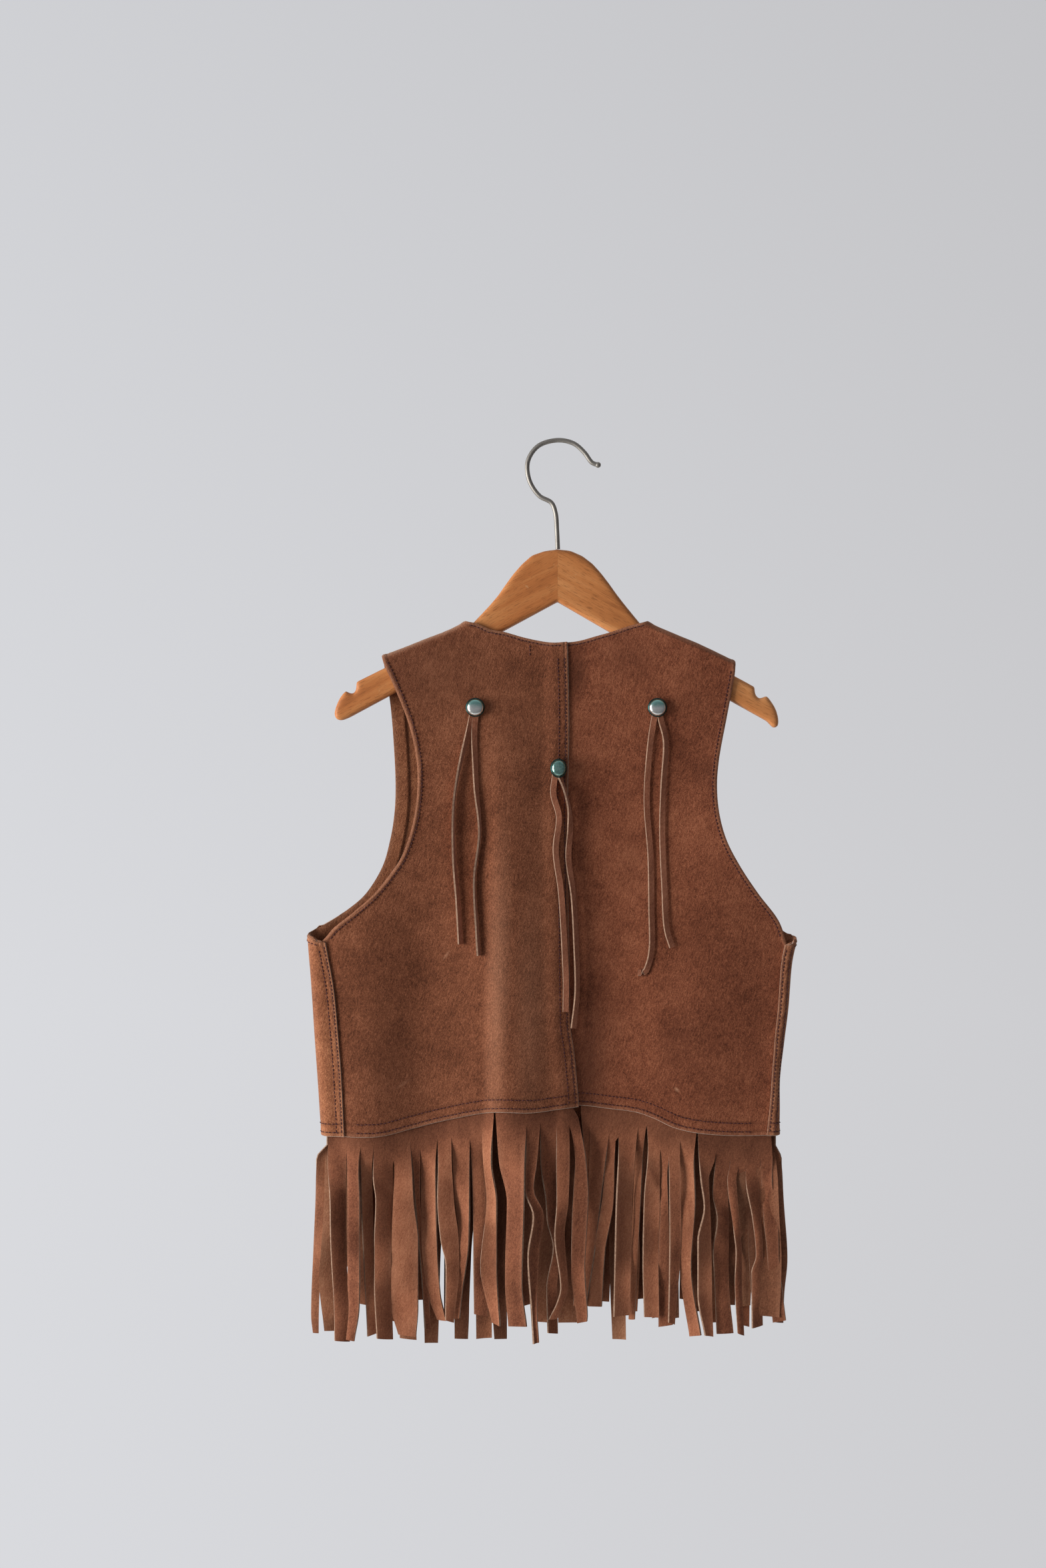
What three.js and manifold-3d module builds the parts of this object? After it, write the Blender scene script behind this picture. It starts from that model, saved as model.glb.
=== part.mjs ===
import * as THREE from "three";
import { mergeVertices } from "three/addons/utils/BufferGeometryUtils.js";
import Module from "manifold-3d";

// A child's fringed suede vest, hung by its shoulders on a two-piece wooden hanger.
// Millimetres. +Z is up, the back of the vest faces -Y and +X is to the right of one who looks at the back.
// The origin is the underside of the top of the hook, where a rail or a nail bears.

const wasm = await Module();
wasm.setup();

// Suede
const WALL = 1.6; // thickness of the panels
const STRIP_WALL = 1.2; // thickness of the fringe and the thongs
const GAP = 0.3; // clear space between sewn pieces
const LAP_LIFT = WALL + GAP; // how far a lapping panel stands off the one under it
const SIDE_LIFT = LAP_LIFT + 0.3;
const BAND_GAP = 0.45; // between a band and its panel
const CENTRE_LAP = 9; // how far the right back runs under the left back
const SIDE_LAP_LEFT = 4.2; // how far each back runs under the wrapped front
const SIDE_LAP_RIGHT = 1.8;
const HANG_HALF_DEPTH = 7.6; // from the middle plane to a panel at the shoulders
const HEM_FULLNESS = 3.2; // what the body gains in half depth at the hem
const RIDGE_GAP = 0.45; // from the middle plane to each panel's edge on the ridge
const SHOULDER_REACH = HANG_HALF_DEPTH - RIDGE_GAP; // depth of the turn over the shoulder
const SHOULDER_DROP = 4.6; // height of that turn
const LEFT_EDGE_FLATNESS = 0.74; // half depth at the left side, as a share of the body's
const RIGHT_EDGE_FLATNESS = 0.34;
const EDGE_REACH = 26; // how far in from the side that flattening runs
const FOLD_GUARD = 8; // where the half depth of the side fold is read, in from the outline

// Grids of the panels
const SHOULDER_SHARES = [0, 0.02, 0.05, 0.12, 0.19, 0.27, 0.36]; // columns of a back up to the neck corner
const NECK_SHARES = [0.385, 0.45, 0.53, 0.61, 0.69, 0.77, 0.85, 0.93, 1]; // and on to the middle
const LOW_ROWS = 7; // from the hem to the underarm
const HIGH_ROWS = 9; // between the close rows of the underarm and of the shoulder
const LOW_SHARE = 0.4; // of a panel's height, below the underarm
const UNDERARM_SHARES = [0, 0.035, 0.07, 0.115]; // close rows round the underarm
const SHOULDER_TURN_SHARES = [0.955, 0.983, 0.993, 1]; // and over the shoulder
const FRONT_COLUMN_SHARES = [0, 0.012, 0.03, 0.05, 0.07, 0.09, 0.2, 0.29, 0.38, 0.48, 0.58, 0.68, 0.78, 0.89, 1];
const FOLD_COLUMNS = 4; // steps of a front's grid round its side fold
const CENTRE_INSET_LEFT = 9.6; // where the left back's grid ends, in from its cut edge
const LAP_COLUMNS = [4.8, 0]; // and where its last columns are
const LAP_SLOPE = 0.1; // rise of the hem along them

// Top line of the shoulders, rising on over the neck so that the neckline hangs plain
const RIDGE = [
  { x: -150, z: -173.8 },
  { x: -138.6, z: -169.4 },
  { x: -121, z: -162.8 },
  { x: -104, z: -156 },
  { x: -87, z: -149.4 },
  { x: -73, z: -142 },
  { x: -60, z: -127 },
  { x: 0, z: -90 },
  { x: 58, z: -127 },
  { x: 71, z: -142 },
  { x: 88, z: -150.2 },
  { x: 109, z: -158.9 },
  { x: 130, z: -168.8 },
  { x: 140, z: -173.8 },
  { x: 150, z: -178.6 },
];

// Outline of the body at each side, where the front turns round to the back
const SIDE_OUTLINE_LEFT = [
  { z: -388, x: -197 },
  { z: -399, x: -196.3 },
  { z: -430, x: -193.8 },
  { z: -472, x: -191.1 },
  { z: -509, x: -188.5 },
  { z: -547, x: -186 },
];
const SIDE_OUTLINE_RIGHT = [
  { z: -392, x: 188.6 },
  { z: -414, x: 184.4 },
  { z: -446, x: 181.8 },
  { z: -477, x: 178 },
  { z: -509, x: 174.9 },
  { z: -547, x: 174.9 },
];

// Cut edge of the wrapped front, seen on the back
const SIDE_SEAM_LEFT = [
  { z: -395, x: -182.7 },
  { z: -430, x: -176.3 },
  { z: -463, x: -173 },
  { z: -495, x: -170.4 },
  { z: -547, x: -167.8 },
];
const SIDE_SEAM_RIGHT = [
  { z: -397, x: 179.3 },
  { z: -421, x: 175.6 },
  { z: -464, x: 172 },
  { z: -507, x: 168.6 },
  { z: -547, x: 165 },
];

// Cut edge of the left back, where it laps over the right back
const CENTRE_EDGE = [
  { z: -140, x: 7.2 },
  { z: -227, x: 8.7 },
  { z: -281, x: 7.7 },
  { z: -388, x: 8.4 },
  { z: -459, x: 9.4 },
  { z: -479, x: 12.1 },
  { z: -506, x: 14.7 },
  { z: -530, x: 16.6 },
];

const NECKLINE_LEFT = [
  { x: -73, z: -142 },
  { x: -64, z: -143.8 },
  { x: -53, z: -148.5 },
  { x: -42.5, z: -150.4 },
  { x: -27.8, z: -154.6 },
  { x: -15.7, z: -157.3 },
  { x: -3.7, z: -159 },
  { x: -2.3, z: -159.2 },
];
const NECKLINE_RIGHT = [
  { x: 71, z: -142 },
  { x: 57.7, z: -145.4 },
  { x: 42.8, z: -150.3 },
  { x: 30.1, z: -153.9 },
  { x: 15.7, z: -157.8 },
  { x: -1.6, z: -159.4 },
];

// Armholes, from the underarm up to the shoulder tip
const BACK_ARMHOLE_LEFT = [
  { x: -182, z: -390.4 },
  { x: -176.2, z: -383.4 },
  { x: -160.4, z: -370.8 },
  { x: -144.7, z: -356.7 },
  { x: -130.6, z: -339.4 },
  { x: -122.7, z: -326.8 },
  { x: -113.2, z: -296.9 },
  { x: -110.5, z: -259.2 },
  { x: -116.4, z: -226.1 },
  { x: -129, z: -193.1 },
  { x: -136.8, z: -175.8 },
  { x: -138.6, z: -169.4 },
];
const BACK_ARMHOLE_RIGHT = [
  { x: 174.6, z: -378.4 },
  { x: 158.3, z: -356.7 },
  { x: 144.2, z: -335.7 },
  { x: 133.2, z: -314.7 },
  { x: 127.4, z: -293.8 },
  { x: 125.5, z: -272 },
  { x: 126.9, z: -251.8 },
  { x: 133.7, z: -214.6 },
  { x: 139.5, z: -183.1 },
  { x: 140, z: -173.8 },
];
// side: which way the cloth faces there, round the fold at the underarm
const FRONT_ARMHOLE_LEFT = [
  { x: -182.7, z: -395, side: "back" },
  { x: -197, z: -389.4, side: "fold" },
  { x: -179.8, z: -378.4, side: "front" },
  { x: -163.6, z: -367.6, side: "front" },
  { x: -152, z: -357, side: "front" },
  { x: -138.9, z: -335.7, side: "front" },
  { x: -132.8, z: -314.7, side: "front" },
  { x: -129.4, z: -293.8, side: "front" },
  { x: -128.4, z: -272.8, side: "front" },
  { x: -130.4, z: -230.8, side: "front" },
  { x: -133.2, z: -202, side: "front" },
  { x: -138.6, z: -169.4, side: "front" },
];
const FRONT_ARMHOLE_RIGHT = [
  { x: 179.3, z: -397, side: "back" },
  { x: 188.6, z: -393.4, side: "fold" },
  { x: 173, z: -382, side: "front" },
  { x: 159, z: -364, side: "front" },
  { x: 145, z: -342, side: "front" },
  { x: 134, z: -319, side: "front" },
  { x: 127, z: -294, side: "front" },
  { x: 125, z: -272, side: "front" },
  { x: 127, z: -240, side: "front" },
  { x: 133, z: -205, side: "front" },
  { x: 140, z: -173.8, side: "front" },
];

// Hems, from the side to the middle
const BACK_HEM_LEFT = [
  { x: -152.8, z: -547.4 },
  { x: -137.4, z: -546.6 },
  { x: -116.4, z: -541.8 },
  { x: -82.3, z: -533.4 },
  { x: -48.8, z: -527.1 },
  { x: -18.9, z: -527.4 },
  { x: 6.6, z: -524.6 },
];
const BACK_HEM_RIGHT = [
  { x: 148.4, z: -547.3 },
  { x: 126.9, z: -546.5 },
  { x: 105.4, z: -543.9 },
  { x: 90.7, z: -540.2 },
  { x: 76.5, z: -533.6 },
  { x: 62.1, z: -528.7 },
  { x: 40.4, z: -525.8 },
  { x: 18.9, z: -522.9 },
  { x: 7.3, z: -522.6 },
];
const FRONT_HEM_Z = -547;

// Open edge of each front: its place in x up the front and along the V of the neck
const FRONT_EDGE_LEFT = [
  { x: -7, z: -547 },
  { x: -7, z: -440 },
  { x: -8, z: -335 },
];
const FRONT_EDGE_RIGHT = [
  { x: 8, z: -547 },
  { x: 8, z: -440 },
  { x: 9, z: -335 },
];
const FRONT_NECK_LEFT = [
  { x: -8, z: -335 },
  { x: -25, z: -285 },
  { x: -45, z: -230 },
  { x: -62, z: -180 },
  { x: -73, z: -142 },
];
const FRONT_NECK_RIGHT = [
  { x: 9, z: -335 },
  { x: 26, z: -285 },
  { x: 45, z: -230 },
  { x: 61, z: -180 },
  { x: 71, z: -142 },
];

// Soft folds. rise is how far the cloth stands out there at the foot, and below 0 it is a trough.
const BACK_FOLDS = [
  { topX: -113, topZ: -320, footX: -105, halfWidth: 13, rise: -3.2 },
  { topX: -84, topZ: -250, footX: -82, halfWidth: 12, rise: 1.4 },
  { topX: -56, topZ: -250, footX: -58, halfWidth: 6, rise: -2.2 },
  { topX: -45, topZ: -205, footX: -42, halfWidth: 9, rise: 3.6 },
  { topX: -14, topZ: -250, footX: -12, halfWidth: 12, rise: -1.2 },
  { topX: 4, topZ: -230, footX: 9, halfWidth: 8, rise: 1.6 },
  { topX: 20, topZ: -200, footX: 24, halfWidth: 9, rise: -3.4 },
  { topX: 58, topZ: -240, footX: 55, halfWidth: 15, rise: 1.8 },
  { topX: 100, topZ: -300, footX: 92, halfWidth: 12, rise: -1.8 },
  { topX: 136, topZ: -340, footX: 130, halfWidth: 13, rise: 1.6 },
];
const FRONT_FOLDS = [
  { topX: -130, topZ: -330, footX: -138, halfWidth: 14, rise: 2.2 },
  { topX: -92, topZ: -250, footX: -96, halfWidth: 12, rise: -2.6 },
  { topX: -52, topZ: -240, footX: -50, halfWidth: 14, rise: 2.4 },
  { topX: 46, topZ: -240, footX: 52, halfWidth: 13, rise: 2 },
  { topX: 88, topZ: -260, footX: 90, halfWidth: 12, rise: -2.4 },
  { topX: 126, topZ: -330, footX: 134, halfWidth: 13, rise: 2.4 },
];
const FOLD_FADE = 150; // how far below its top a fold reaches its full rise

// Fringe
const BAND_TUCK = 11; // how far a band runs up behind the hem
const INNER_TUCK_SHIFT = { 4: -6, 5: -10.4 }; // keeps the inner left band clear of the right back
const BAND_DROP = 1.6; // how far below the hem a band keeps its upper outline
const LAYER_STEP = 2.1; // step in depth between strands that pass one another
const STRAND_STEPS = 6;
const STRAND_HIGH_Z = -592.6; // heights at which the strands' tables give their places
const STRAND_LOW_Z = -639.8;
const MOST_NARROWING = 1.45; // a strand is twisted to look no narrower than its cut width over this
const FRONT_BAND_TURN = 0.9; // how far round the side fold a front's band starts, in radians
const FRONT_STRANDS = 15;
const FRONT_SLIT_DROP = 9;
const FRONT_TIP_Z = -707;
const FRONT_STRAND_SHARE = 0.84; // width of a front strand, as a share of its pitch

// Slits of each band from left to right: the places of their upper ends.
// Strands of each band: place and seen width at two heights and at the tip. A strand seen narrower than it was cut
// is twisted. layer: steps in depth it hangs off its band, with below 0 outward.
const BACK_LEFT_OUTER_SLITS = [
  { x: -180.6, z: -549.6 },
  { x: -166.7, z: -555.9 },
  { x: -154.7, z: -554.9 },
  { x: -144.7, z: -553.8 },
  { x: -129, z: -566.4 },
  { x: -116.4, z: -551.2 },
  { x: -108.5, z: -557 },
  { x: -94.9, z: -549.6 },
  { x: -83.9, z: -546 },
  { x: -69.2, z: -550.1 },
  { x: -60.3, z: -536 },
  { x: -50.3, z: -530.7 },
];
const BACK_LEFT_OUTER_STRANDS = [
  { highX: -173.3, highWidth: 12.1, lowX: -172.8, lowWidth: 12.1, tipX: -169.9, tipWidth: 11.5, tipZ: -709, layer: 0 },
  { highX: -160.4, highWidth: 10, lowX: -160.2, lowWidth: 10.5, tipX: -159.9, tipWidth: 7.3, tipZ: -706.9, layer: -1 },
  { highX: -149.9, highWidth: 8.9, lowX: -148.9, lowWidth: 9.4, tipX: -148.4, tipWidth: 10.5, tipZ: -704.3, layer: 2 },
  { highX: -136.6, highWidth: 13.1, lowX: -137.4, lowWidth: 13.1, tipX: -136.1, tipWidth: 12.1, tipZ: -706.9, layer: 0 },
  { highX: -121.4, highWidth: 15.7, lowX: -120.1, lowWidth: 21, tipX: -118.5, tipWidth: 14.2, tipZ: -704.3, layer: -1 },
  { highX: -111.7, highWidth: 3.7, lowX: -107.5, lowWidth: 3.7, tipX: -102.8, tipWidth: 4.7, tipZ: -700.6, layer: 1 },
  { highX: -102.5, highWidth: 10.5, lowX: -100.1, lowWidth: 12.1, tipX: -91.2, tipWidth: 7.3, tipZ: -693.8, layer: 0 },
  { highX: -88.6, highWidth: 13.1, lowX: -83.4, lowWidth: 11, tipX: -85.2, tipWidth: 6.3, tipZ: -693.3, layer: -1 },
  { highX: -75.6, highWidth: 11.5, lowX: -73.9, lowWidth: 6.3, tipX: -79.2, tipWidth: 4.7, tipZ: -691.7, layer: 1 },
  { highX: -61.9, highWidth: 10.5, lowX: -61.9, lowWidth: 8.9, tipX: -60.3, tipWidth: 11.5, tipZ: -689.1, layer: 2 },
  { highX: -52.2, highWidth: 7.9, lowX: -53.5, lowWidth: 12.6, tipX: -48.2, tipWidth: 6.3, tipZ: -694.9, layer: 0 },
];
const BACK_LEFT_INNER_SLITS = [
  { x: -48.8, z: -529.7 },
  { x: -24.1, z: -536.5 },
  { x: -13.6, z: -535.5 },
  { x: -1, z: -533.4 },
  { x: 8.9, z: -539.1 },
  { x: 16.3, z: -532.8 },
];
const BACK_LEFT_INNER_STRANDS = [
  { highX: -33.6, highWidth: 14.2, lowX: -34.9, lowWidth: 13.1, tipX: -31.5, tipWidth: 14.7, tipZ: -694.9, layer: 0 },
  { highX: -22.5, highWidth: 6.3, lowX: -19.4, lowWidth: 8.9, tipX: -17.3, tipWidth: 4.7, tipZ: -708, layer: -1 },
  { highX: -6.3, highWidth: 7.9, lowX: -3.7, lowWidth: 4.7, tipX: -3.7, tipWidth: 6.8, tipZ: -702.7, layer: 2 },
  { highX: 3.1, highWidth: 10, lowX: 2.1, lowWidth: 5.2, tipX: -4.2, tipWidth: 6.3, tipZ: -690.1, layer: -1 },
  { highX: 18.4, highWidth: 11.5, lowX: 16.3, lowWidth: 11, tipX: 18.9, tipWidth: 7.9, tipZ: -693.3, layer: -1 },
];
const BACK_RIGHT_INNER_SLITS = [
  { x: 18.4, z: -529.7 },
  { x: 25.7, z: -539.1 },
  { x: 41.4, z: -544.9 },
  { x: 48.2, z: -548.6 },
  { x: 64, z: -539.1 },
  { x: 70.5, z: -539.1 },
  { x: 81.3, z: -558 },
  { x: 88.6, z: -559.6 },
  { x: 96.5, z: -551.2 },
  { x: 109.1, z: -546.5 },
];
const BACK_RIGHT_INNER_STRANDS = [
  { highX: 25.2, highWidth: 4.2, lowX: 18.9, lowWidth: 4.7, tipX: 15.7, tipWidth: 7.3, tipZ: -682.8, layer: 3 },
  { highX: 29.9, highWidth: 10.5, lowX: 25.2, lowWidth: 8.4, tipX: 19.4, tipWidth: 6.8, tipZ: -680.7, layer: 1 },
  { highX: 40.1, highWidth: 9.4, lowX: 33.6, lowWidth: 9.4, tipX: 29.1, tipWidth: 11, tipZ: -682.8, layer: 0 },
  { highX: 52.7, highWidth: 13.1, lowX: 51.4, lowWidth: 13.1, tipX: 50.6, tipWidth: 13.1, tipZ: -691.2, layer: -1 },
  { highX: 62.9, highWidth: 5.2, lowX: 63.4, lowWidth: 6.3, tipX: 59.2, tipWidth: 4.7, tipZ: -693.8, layer: 2 },
  { highX: 74.7, highWidth: 13.1, lowX: 73.4, lowWidth: 13.1, tipX: 74.2, tipWidth: 12.1, tipZ: -690.7, layer: 0 },
  { highX: 84.2, highWidth: 6.3, lowX: 83.9, lowWidth: 7.3, tipX: 85.5, tipWidth: 11.5, tipZ: -698.5, layer: 1 },
  { highX: 91.8, highWidth: 8.6, lowX: 93.1, lowWidth: 8.9, tipX: 89.1, tipWidth: 4.7, tipZ: -694.9, layer: -1 },
  { highX: 102.5, highWidth: 11.5, lowX: 101.7, lowWidth: 8.9, tipX: 109.1, tipWidth: 8.4, tipZ: -705.3, layer: 0 },
];
const BACK_RIGHT_OUTER_SLITS = [
  { x: 110.6, z: -548.6 },
  { x: 124.8, z: -560.6 },
  { x: 136.3, z: -565.9 },
  { x: 142.1, z: -571.6 },
  { x: 148.9, z: -572.7 },
  { x: 160.4, z: -565.4 },
  { x: 168.8, z: -549.6 },
];
const BACK_RIGHT_OUTER_STRANDS = [
  { highX: 116.9, highWidth: 4.2, lowX: 116.1, lowWidth: 12.1, tipX: 119, tipWidth: 7.9, tipZ: -704.8, layer: -1 },
  { highX: 128.5, highWidth: 9.4, lowX: 129, lowWidth: 12.1, tipX: 131.6, tipWidth: 13.6, tipZ: -703.8, layer: 1 },
  { highX: 138.4, highWidth: 4.7, lowX: 138.9, lowWidth: 7.3, tipX: 141.3, tipWidth: 5.8, tipZ: -703.8, layer: -1 },
  { highX: 145.2, highWidth: 5.8, lowX: 147.3, lowWidth: 10, tipX: 148.4, tipWidth: 7.3, tipZ: -699, layer: 2 },
  { highX: 154.1, highWidth: 9.4, lowX: 157.3, lowWidth: 5.2, tipX: 157.8, tipWidth: 8.9, tipZ: -698.5, layer: -1 },
  { highX: 165.7, highWidth: 9.4, lowX: 170.4, lowWidth: 9.4, tipX: 175.1, tipWidth: 10.5, tipZ: -694.9, layer: -1 },
];

// Outermost front strands, which show beside the back's
const FRONT_SIDE_STRAND_LEFT = {
  highX: -188.8, highWidth: 8.6, lowX: -191.4, lowWidth: 7, tipX: -190.2, tipWidth: 6, tipZ: -704.6, layer: 1,
};
const FRONT_SIDE_STRAND_RIGHT = {
  highX: 175.6, highWidth: 6.4, lowX: 177.4, lowWidth: 5, tipX: 176, tipWidth: 6, tipZ: -696, layer: 1,
};

// Studs and thongs
const STUD_RADIUS = 7.35;
const STUD_DOME = 4.4;
const STUD_RIM = 1.1;
const STUD_SIDES = 20;
const STUD_SEAT = 0.5; // from the cloth to the head of the thong
const STUD_GAP = 0.9; // and from that to the stud
const THONG_HEAD_RADIUS = 5.2;
const THONG_WIDTH = 4.2;
const THONG_CLEARANCE = 1; // between a hanging thong and the cloth
const STUD_LEFT = { x: -64.9, z: -210 };
const STUD_RIGHT = { x: 78.3, z: -210.1 };
const STUD_CENTRE = { x: 0.6, z: -257.8 };
// turn: how far the thong is twisted, in radians, with 0 flat on the cloth
const THONG_LEFT_A = [
  { x: -67.4, z: -212, turn: 0 },
  { x: -71.8, z: -231, turn: 0.3 },
  { x: -78.6, z: -264, turn: 0.8 },
  { x: -81.8, z: -288, turn: 0.9 },
  { x: -81.6, z: -328, turn: 0.5 },
  { x: -78.6, z: -361, turn: 0.8 },
  { x: -76.5, z: -396, turn: 0.4 },
];
const THONG_LEFT_B = [
  { x: -62.9, z: -212, turn: 0 },
  { x: -66.6, z: -232, turn: 0.4 },
  { x: -65, z: -274, turn: 0.8 },
  { x: -61.3, z: -308, turn: 0.3 },
  { x: -65.5, z: -345, turn: 0.9 },
  { x: -63.5, z: -384, turn: 0.6 },
  { x: -62, z: -404.8, turn: 0.3 },
];
const THONG_RIGHT_A = [
  { x: 76.6, z: -212, turn: 0 },
  { x: 73, z: -238, turn: 0.6 },
  { x: 70.2, z: -282, turn: 0.9 },
  { x: 74.6, z: -327, turn: 0.5 },
  { x: 73.8, z: -369, turn: 0.9 },
  { x: 74, z: -408, turn: 0.4 },
  { x: 68.4, z: -419, turn: 0.2 },
  { x: 63.4, z: -418.6, turn: 0 },
];
const THONG_RIGHT_B = [
  { x: 81.2, z: -212, turn: 0 },
  { x: 83.6, z: -240, turn: 0.7 },
  { x: 82.3, z: -271, turn: 0.9 },
  { x: 82.4, z: -306, turn: 0.5 },
  { x: 84, z: -356, turn: 0.9 },
  { x: 86, z: -385, turn: 0.6 },
  { x: 90.2, z: -398.6, turn: 0.2 },
];
const THONG_CENTRE_A = [
  { x: -2.2, z: -260, turn: 0 },
  { x: -3.4, z: -278, turn: 0.2 },
  { x: 1, z: -296, turn: 0.5 },
  { x: -1.6, z: -322, turn: 0.2 },
  { x: 2.6, z: -355, turn: 0.7 },
  { x: 5.4, z: -401, turn: 0.3 },
  { x: 6.4, z: -425, turn: 0.2 },
  { x: 6.2, z: -449, turn: 0 },
];
const THONG_CENTRE_B = [
  { x: 3.2, z: -260, turn: 0 },
  { x: 6.4, z: -284, turn: 0.4 },
  { x: 9.6, z: -305, turn: 0.3 },
  { x: 8.4, z: -328, turn: 0.7 },
  { x: 12.2, z: -357, turn: 0.4 },
  { x: 14.4, z: -395, turn: 0.9 },
  { x: 15.2, z: -434, turn: 0.6 },
  { x: 12.4, z: -462, turn: 0.3 },
];

// Hanger
const WOOD_DEPTH = 12;
const WOOD_ROUNDING = 2.6;
const GLUE_LINE = 0.3;
const WOOD_CROWN_LEFT = [
  { x: 0, z: -84.9 },
  { x: -10, z: -86.2 },
  { x: -20.4, z: -89.8 },
  { x: -34.6, z: -104 },
  { x: -49, z: -123.9 },
  { x: -68.2, z: -144.6 },
];
const WOOD_END_LEFT = [
  { x: -159, z: -189.7 },
  { x: -159, z: -195.2 },
  { x: -160.6, z: -198.6 },
  { x: -163.6, z: -199 },
  { x: -166.6, z: -196.6 },
  { x: -170.6, z: -200.4 },
  { x: -173.8, z: -206.2 },
  { x: -176.1, z: -213.6 },
  { x: -175.4, z: -218.4 },
  { x: -171.6, z: -220.1 },
  { x: -164.1, z: -217.5 },
];
const WOOD_UNDER_LEFT = [
  { x: -135.8, z: -202.3 },
  { x: -42.7, z: -149.5 },
];
const WOOD_CROWN_RIGHT = [
  { x: 0, z: -84.9 },
  { x: 10, z: -86 },
  { x: 23.1, z: -92.4 },
  { x: 34.6, z: -104 },
  { x: 49.3, z: -123.9 },
  { x: 66.1, z: -144.6 },
];
const WOOD_END_RIGHT = [
  { x: 155.7, z: -193.6 },
  { x: 156, z: -199 },
  { x: 158.2, z: -202.4 },
  { x: 161.4, z: -202.4 },
  { x: 164.4, z: -200.3 },
  { x: 168.6, z: -205 },
  { x: 172.2, z: -211 },
  { x: 174.3, z: -218.6 },
  { x: 174, z: -224.8 },
  { x: 171.2, z: -226.1 },
  { x: 165.7, z: -220.7 },
];
const WOOD_UNDER_RIGHT = [
  { x: 136.6, z: -204.5 },
  { x: 40.9, z: -150.1 },
  { x: 0, z: -126.3 },
];
const WIRE_RADIUS = 1.6;
const WIRE_SIDES = 5; // on each half of the wire
const WIRE_STEPS = 36;
const BALL_RADIUS = 2.3;
const HOOK_LINE = [
  { x: 0.2, z: -84.5 },
  { x: -0.5, z: -69.4 },
  { x: -1.6, z: -56 },
  { x: -4.8, z: -47.9 },
  { x: -14.4, z: -42.3 },
  { x: -22.3, z: -30 },
  { x: -23.4, z: -15 },
  { x: -15.3, z: -3 },
  { x: 0, z: 1.6 },
  { x: 12.8, z: -1 },
  { x: 21.2, z: -8.1 },
  { x: 27.3, z: -16.1 },
  { x: 32, z: -17.9 },
];

// A number from 0 to 1 that eases in and out between two values.
function ease(value, from, to) {
  const share = Math.min(1, Math.max(0, (value - from) / (to - from)));
  return share * share * (3 - 2 * share);
}

function mix(from, to, share) {
  return from + (to - from) * share;
}

// Value of a column, read by straight lines between the rows in order of the key.
function lookUp(rows, key, column, at) {
  const ordered = [...rows].sort((first, second) => first[key] - second[key]);
  if (at <= ordered[0][key]) return ordered[0][column];
  for (let row = 1; row < ordered.length; row++) {
    const low = ordered[row - 1];
    const high = ordered[row];
    if (at <= high[key]) return mix(low[column], high[column], (at - low[key]) / (high[key] - low[key]));
  }
  return ordered[ordered.length - 1][column];
}

// Points at the given shares of the length of a smooth curve through the rows.
function along(rows, shares) {
  const points = rows.map((row) => new THREE.Vector3(row.x, 0, row.z));
  const curve = new THREE.CatmullRomCurve3(points, false, "centripetal");
  curve.arcLengthDivisions = 400;
  return shares.map((share) => {
    const point = curve.getPointAt(share);
    return { x: point.x, z: point.z };
  });
}

function evenShares(count) {
  return Array.from({ length: count + 1 }, (_, step) => step / count);
}

function highShares() {
  const start = UNDERARM_SHARES[UNDERARM_SHARES.length - 1];
  const end = SHOULDER_TURN_SHARES[0];
  const even = evenShares(HIGH_ROWS).slice(1, -1);
  return [...UNDERARM_SHARES, ...even.map((share) => mix(start, end, share)), ...SHOULDER_TURN_SHARES];
}

function joined(low, high) {
  return [...low, ...high.slice(1)];
}

// Heights of the rows as shares of the whole height.
function rowShares() {
  const low = evenShares(LOW_ROWS).map((share) => share * LOW_SHARE);
  const high = highShares().map((share) => LOW_SHARE + share * (1 - LOW_SHARE));
  return joined(low, high);
}

// Grid of flat points between four edges: foot and top run across, near and far run up.
function coonsGrid(edges, columnShares) {
  const { foot, top, near, far } = edges;
  const last = columnShares.length - 1;
  const shares = rowShares();
  return columnShares.map((u, i) =>
    shares.map((v, j) => {
      const point = {};
      for (const axis of ["x", "z"]) {
        const rails = mix(near[j][axis], far[j][axis], u);
        const ends = mix(foot[i][axis], top[i][axis], v);
        const footLine = mix(foot[0][axis], foot[last][axis], u);
        const topLine = mix(top[0][axis], top[last][axis], u);
        point[axis] = rails + ends - mix(footLine, topLine, v);
      }
      return point;
    }),
  );
}

function foldRise(folds, x, z) {
  let rise = 0;
  for (const fold of folds) {
    const down = Math.max(0, Math.min(1, (fold.topZ - z) / (fold.topZ - FRONT_HEM_Z)));
    const off = (x - mix(fold.topX, fold.footX, down)) / fold.halfWidth;
    rise += fold.rise * Math.exp(-off * off) * ease(fold.topZ - z, 0, FOLD_FADE);
  }
  return rise;
}

// Half depth of the body: from the middle plane to the middle of a panel.
function halfDepth(folds, x, z) {
  const left = lookUp(SIDE_OUTLINE_LEFT, "z", "x", z);
  const right = lookUp(SIDE_OUTLINE_RIGHT, "z", "x", z);
  const nearLeft = 1 - ease(x - left, FOLD_GUARD, EDGE_REACH);
  const nearRight = 1 - ease(right - x, FOLD_GUARD, EDGE_REACH);
  const plain = HANG_HALF_DEPTH + HEM_FULLNESS * ease(-z, 230, 520);
  const flattened =
    plain * (1 - nearLeft * (1 - LEFT_EDGE_FLATNESS) - nearRight * (1 - RIGHT_EDGE_FLATNESS));
  const body = mix(plain, flattened, ease(-z, 300, 380));
  return body + foldRise(folds, x, z) * (1 - nearLeft) * (1 - nearRight);
}

const backHalfDepth = (x, z) => halfDepth(BACK_FOLDS, x, z);
const frontHalfDepth = (x, z) => halfDepth(FRONT_FOLDS, x, z);

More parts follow.
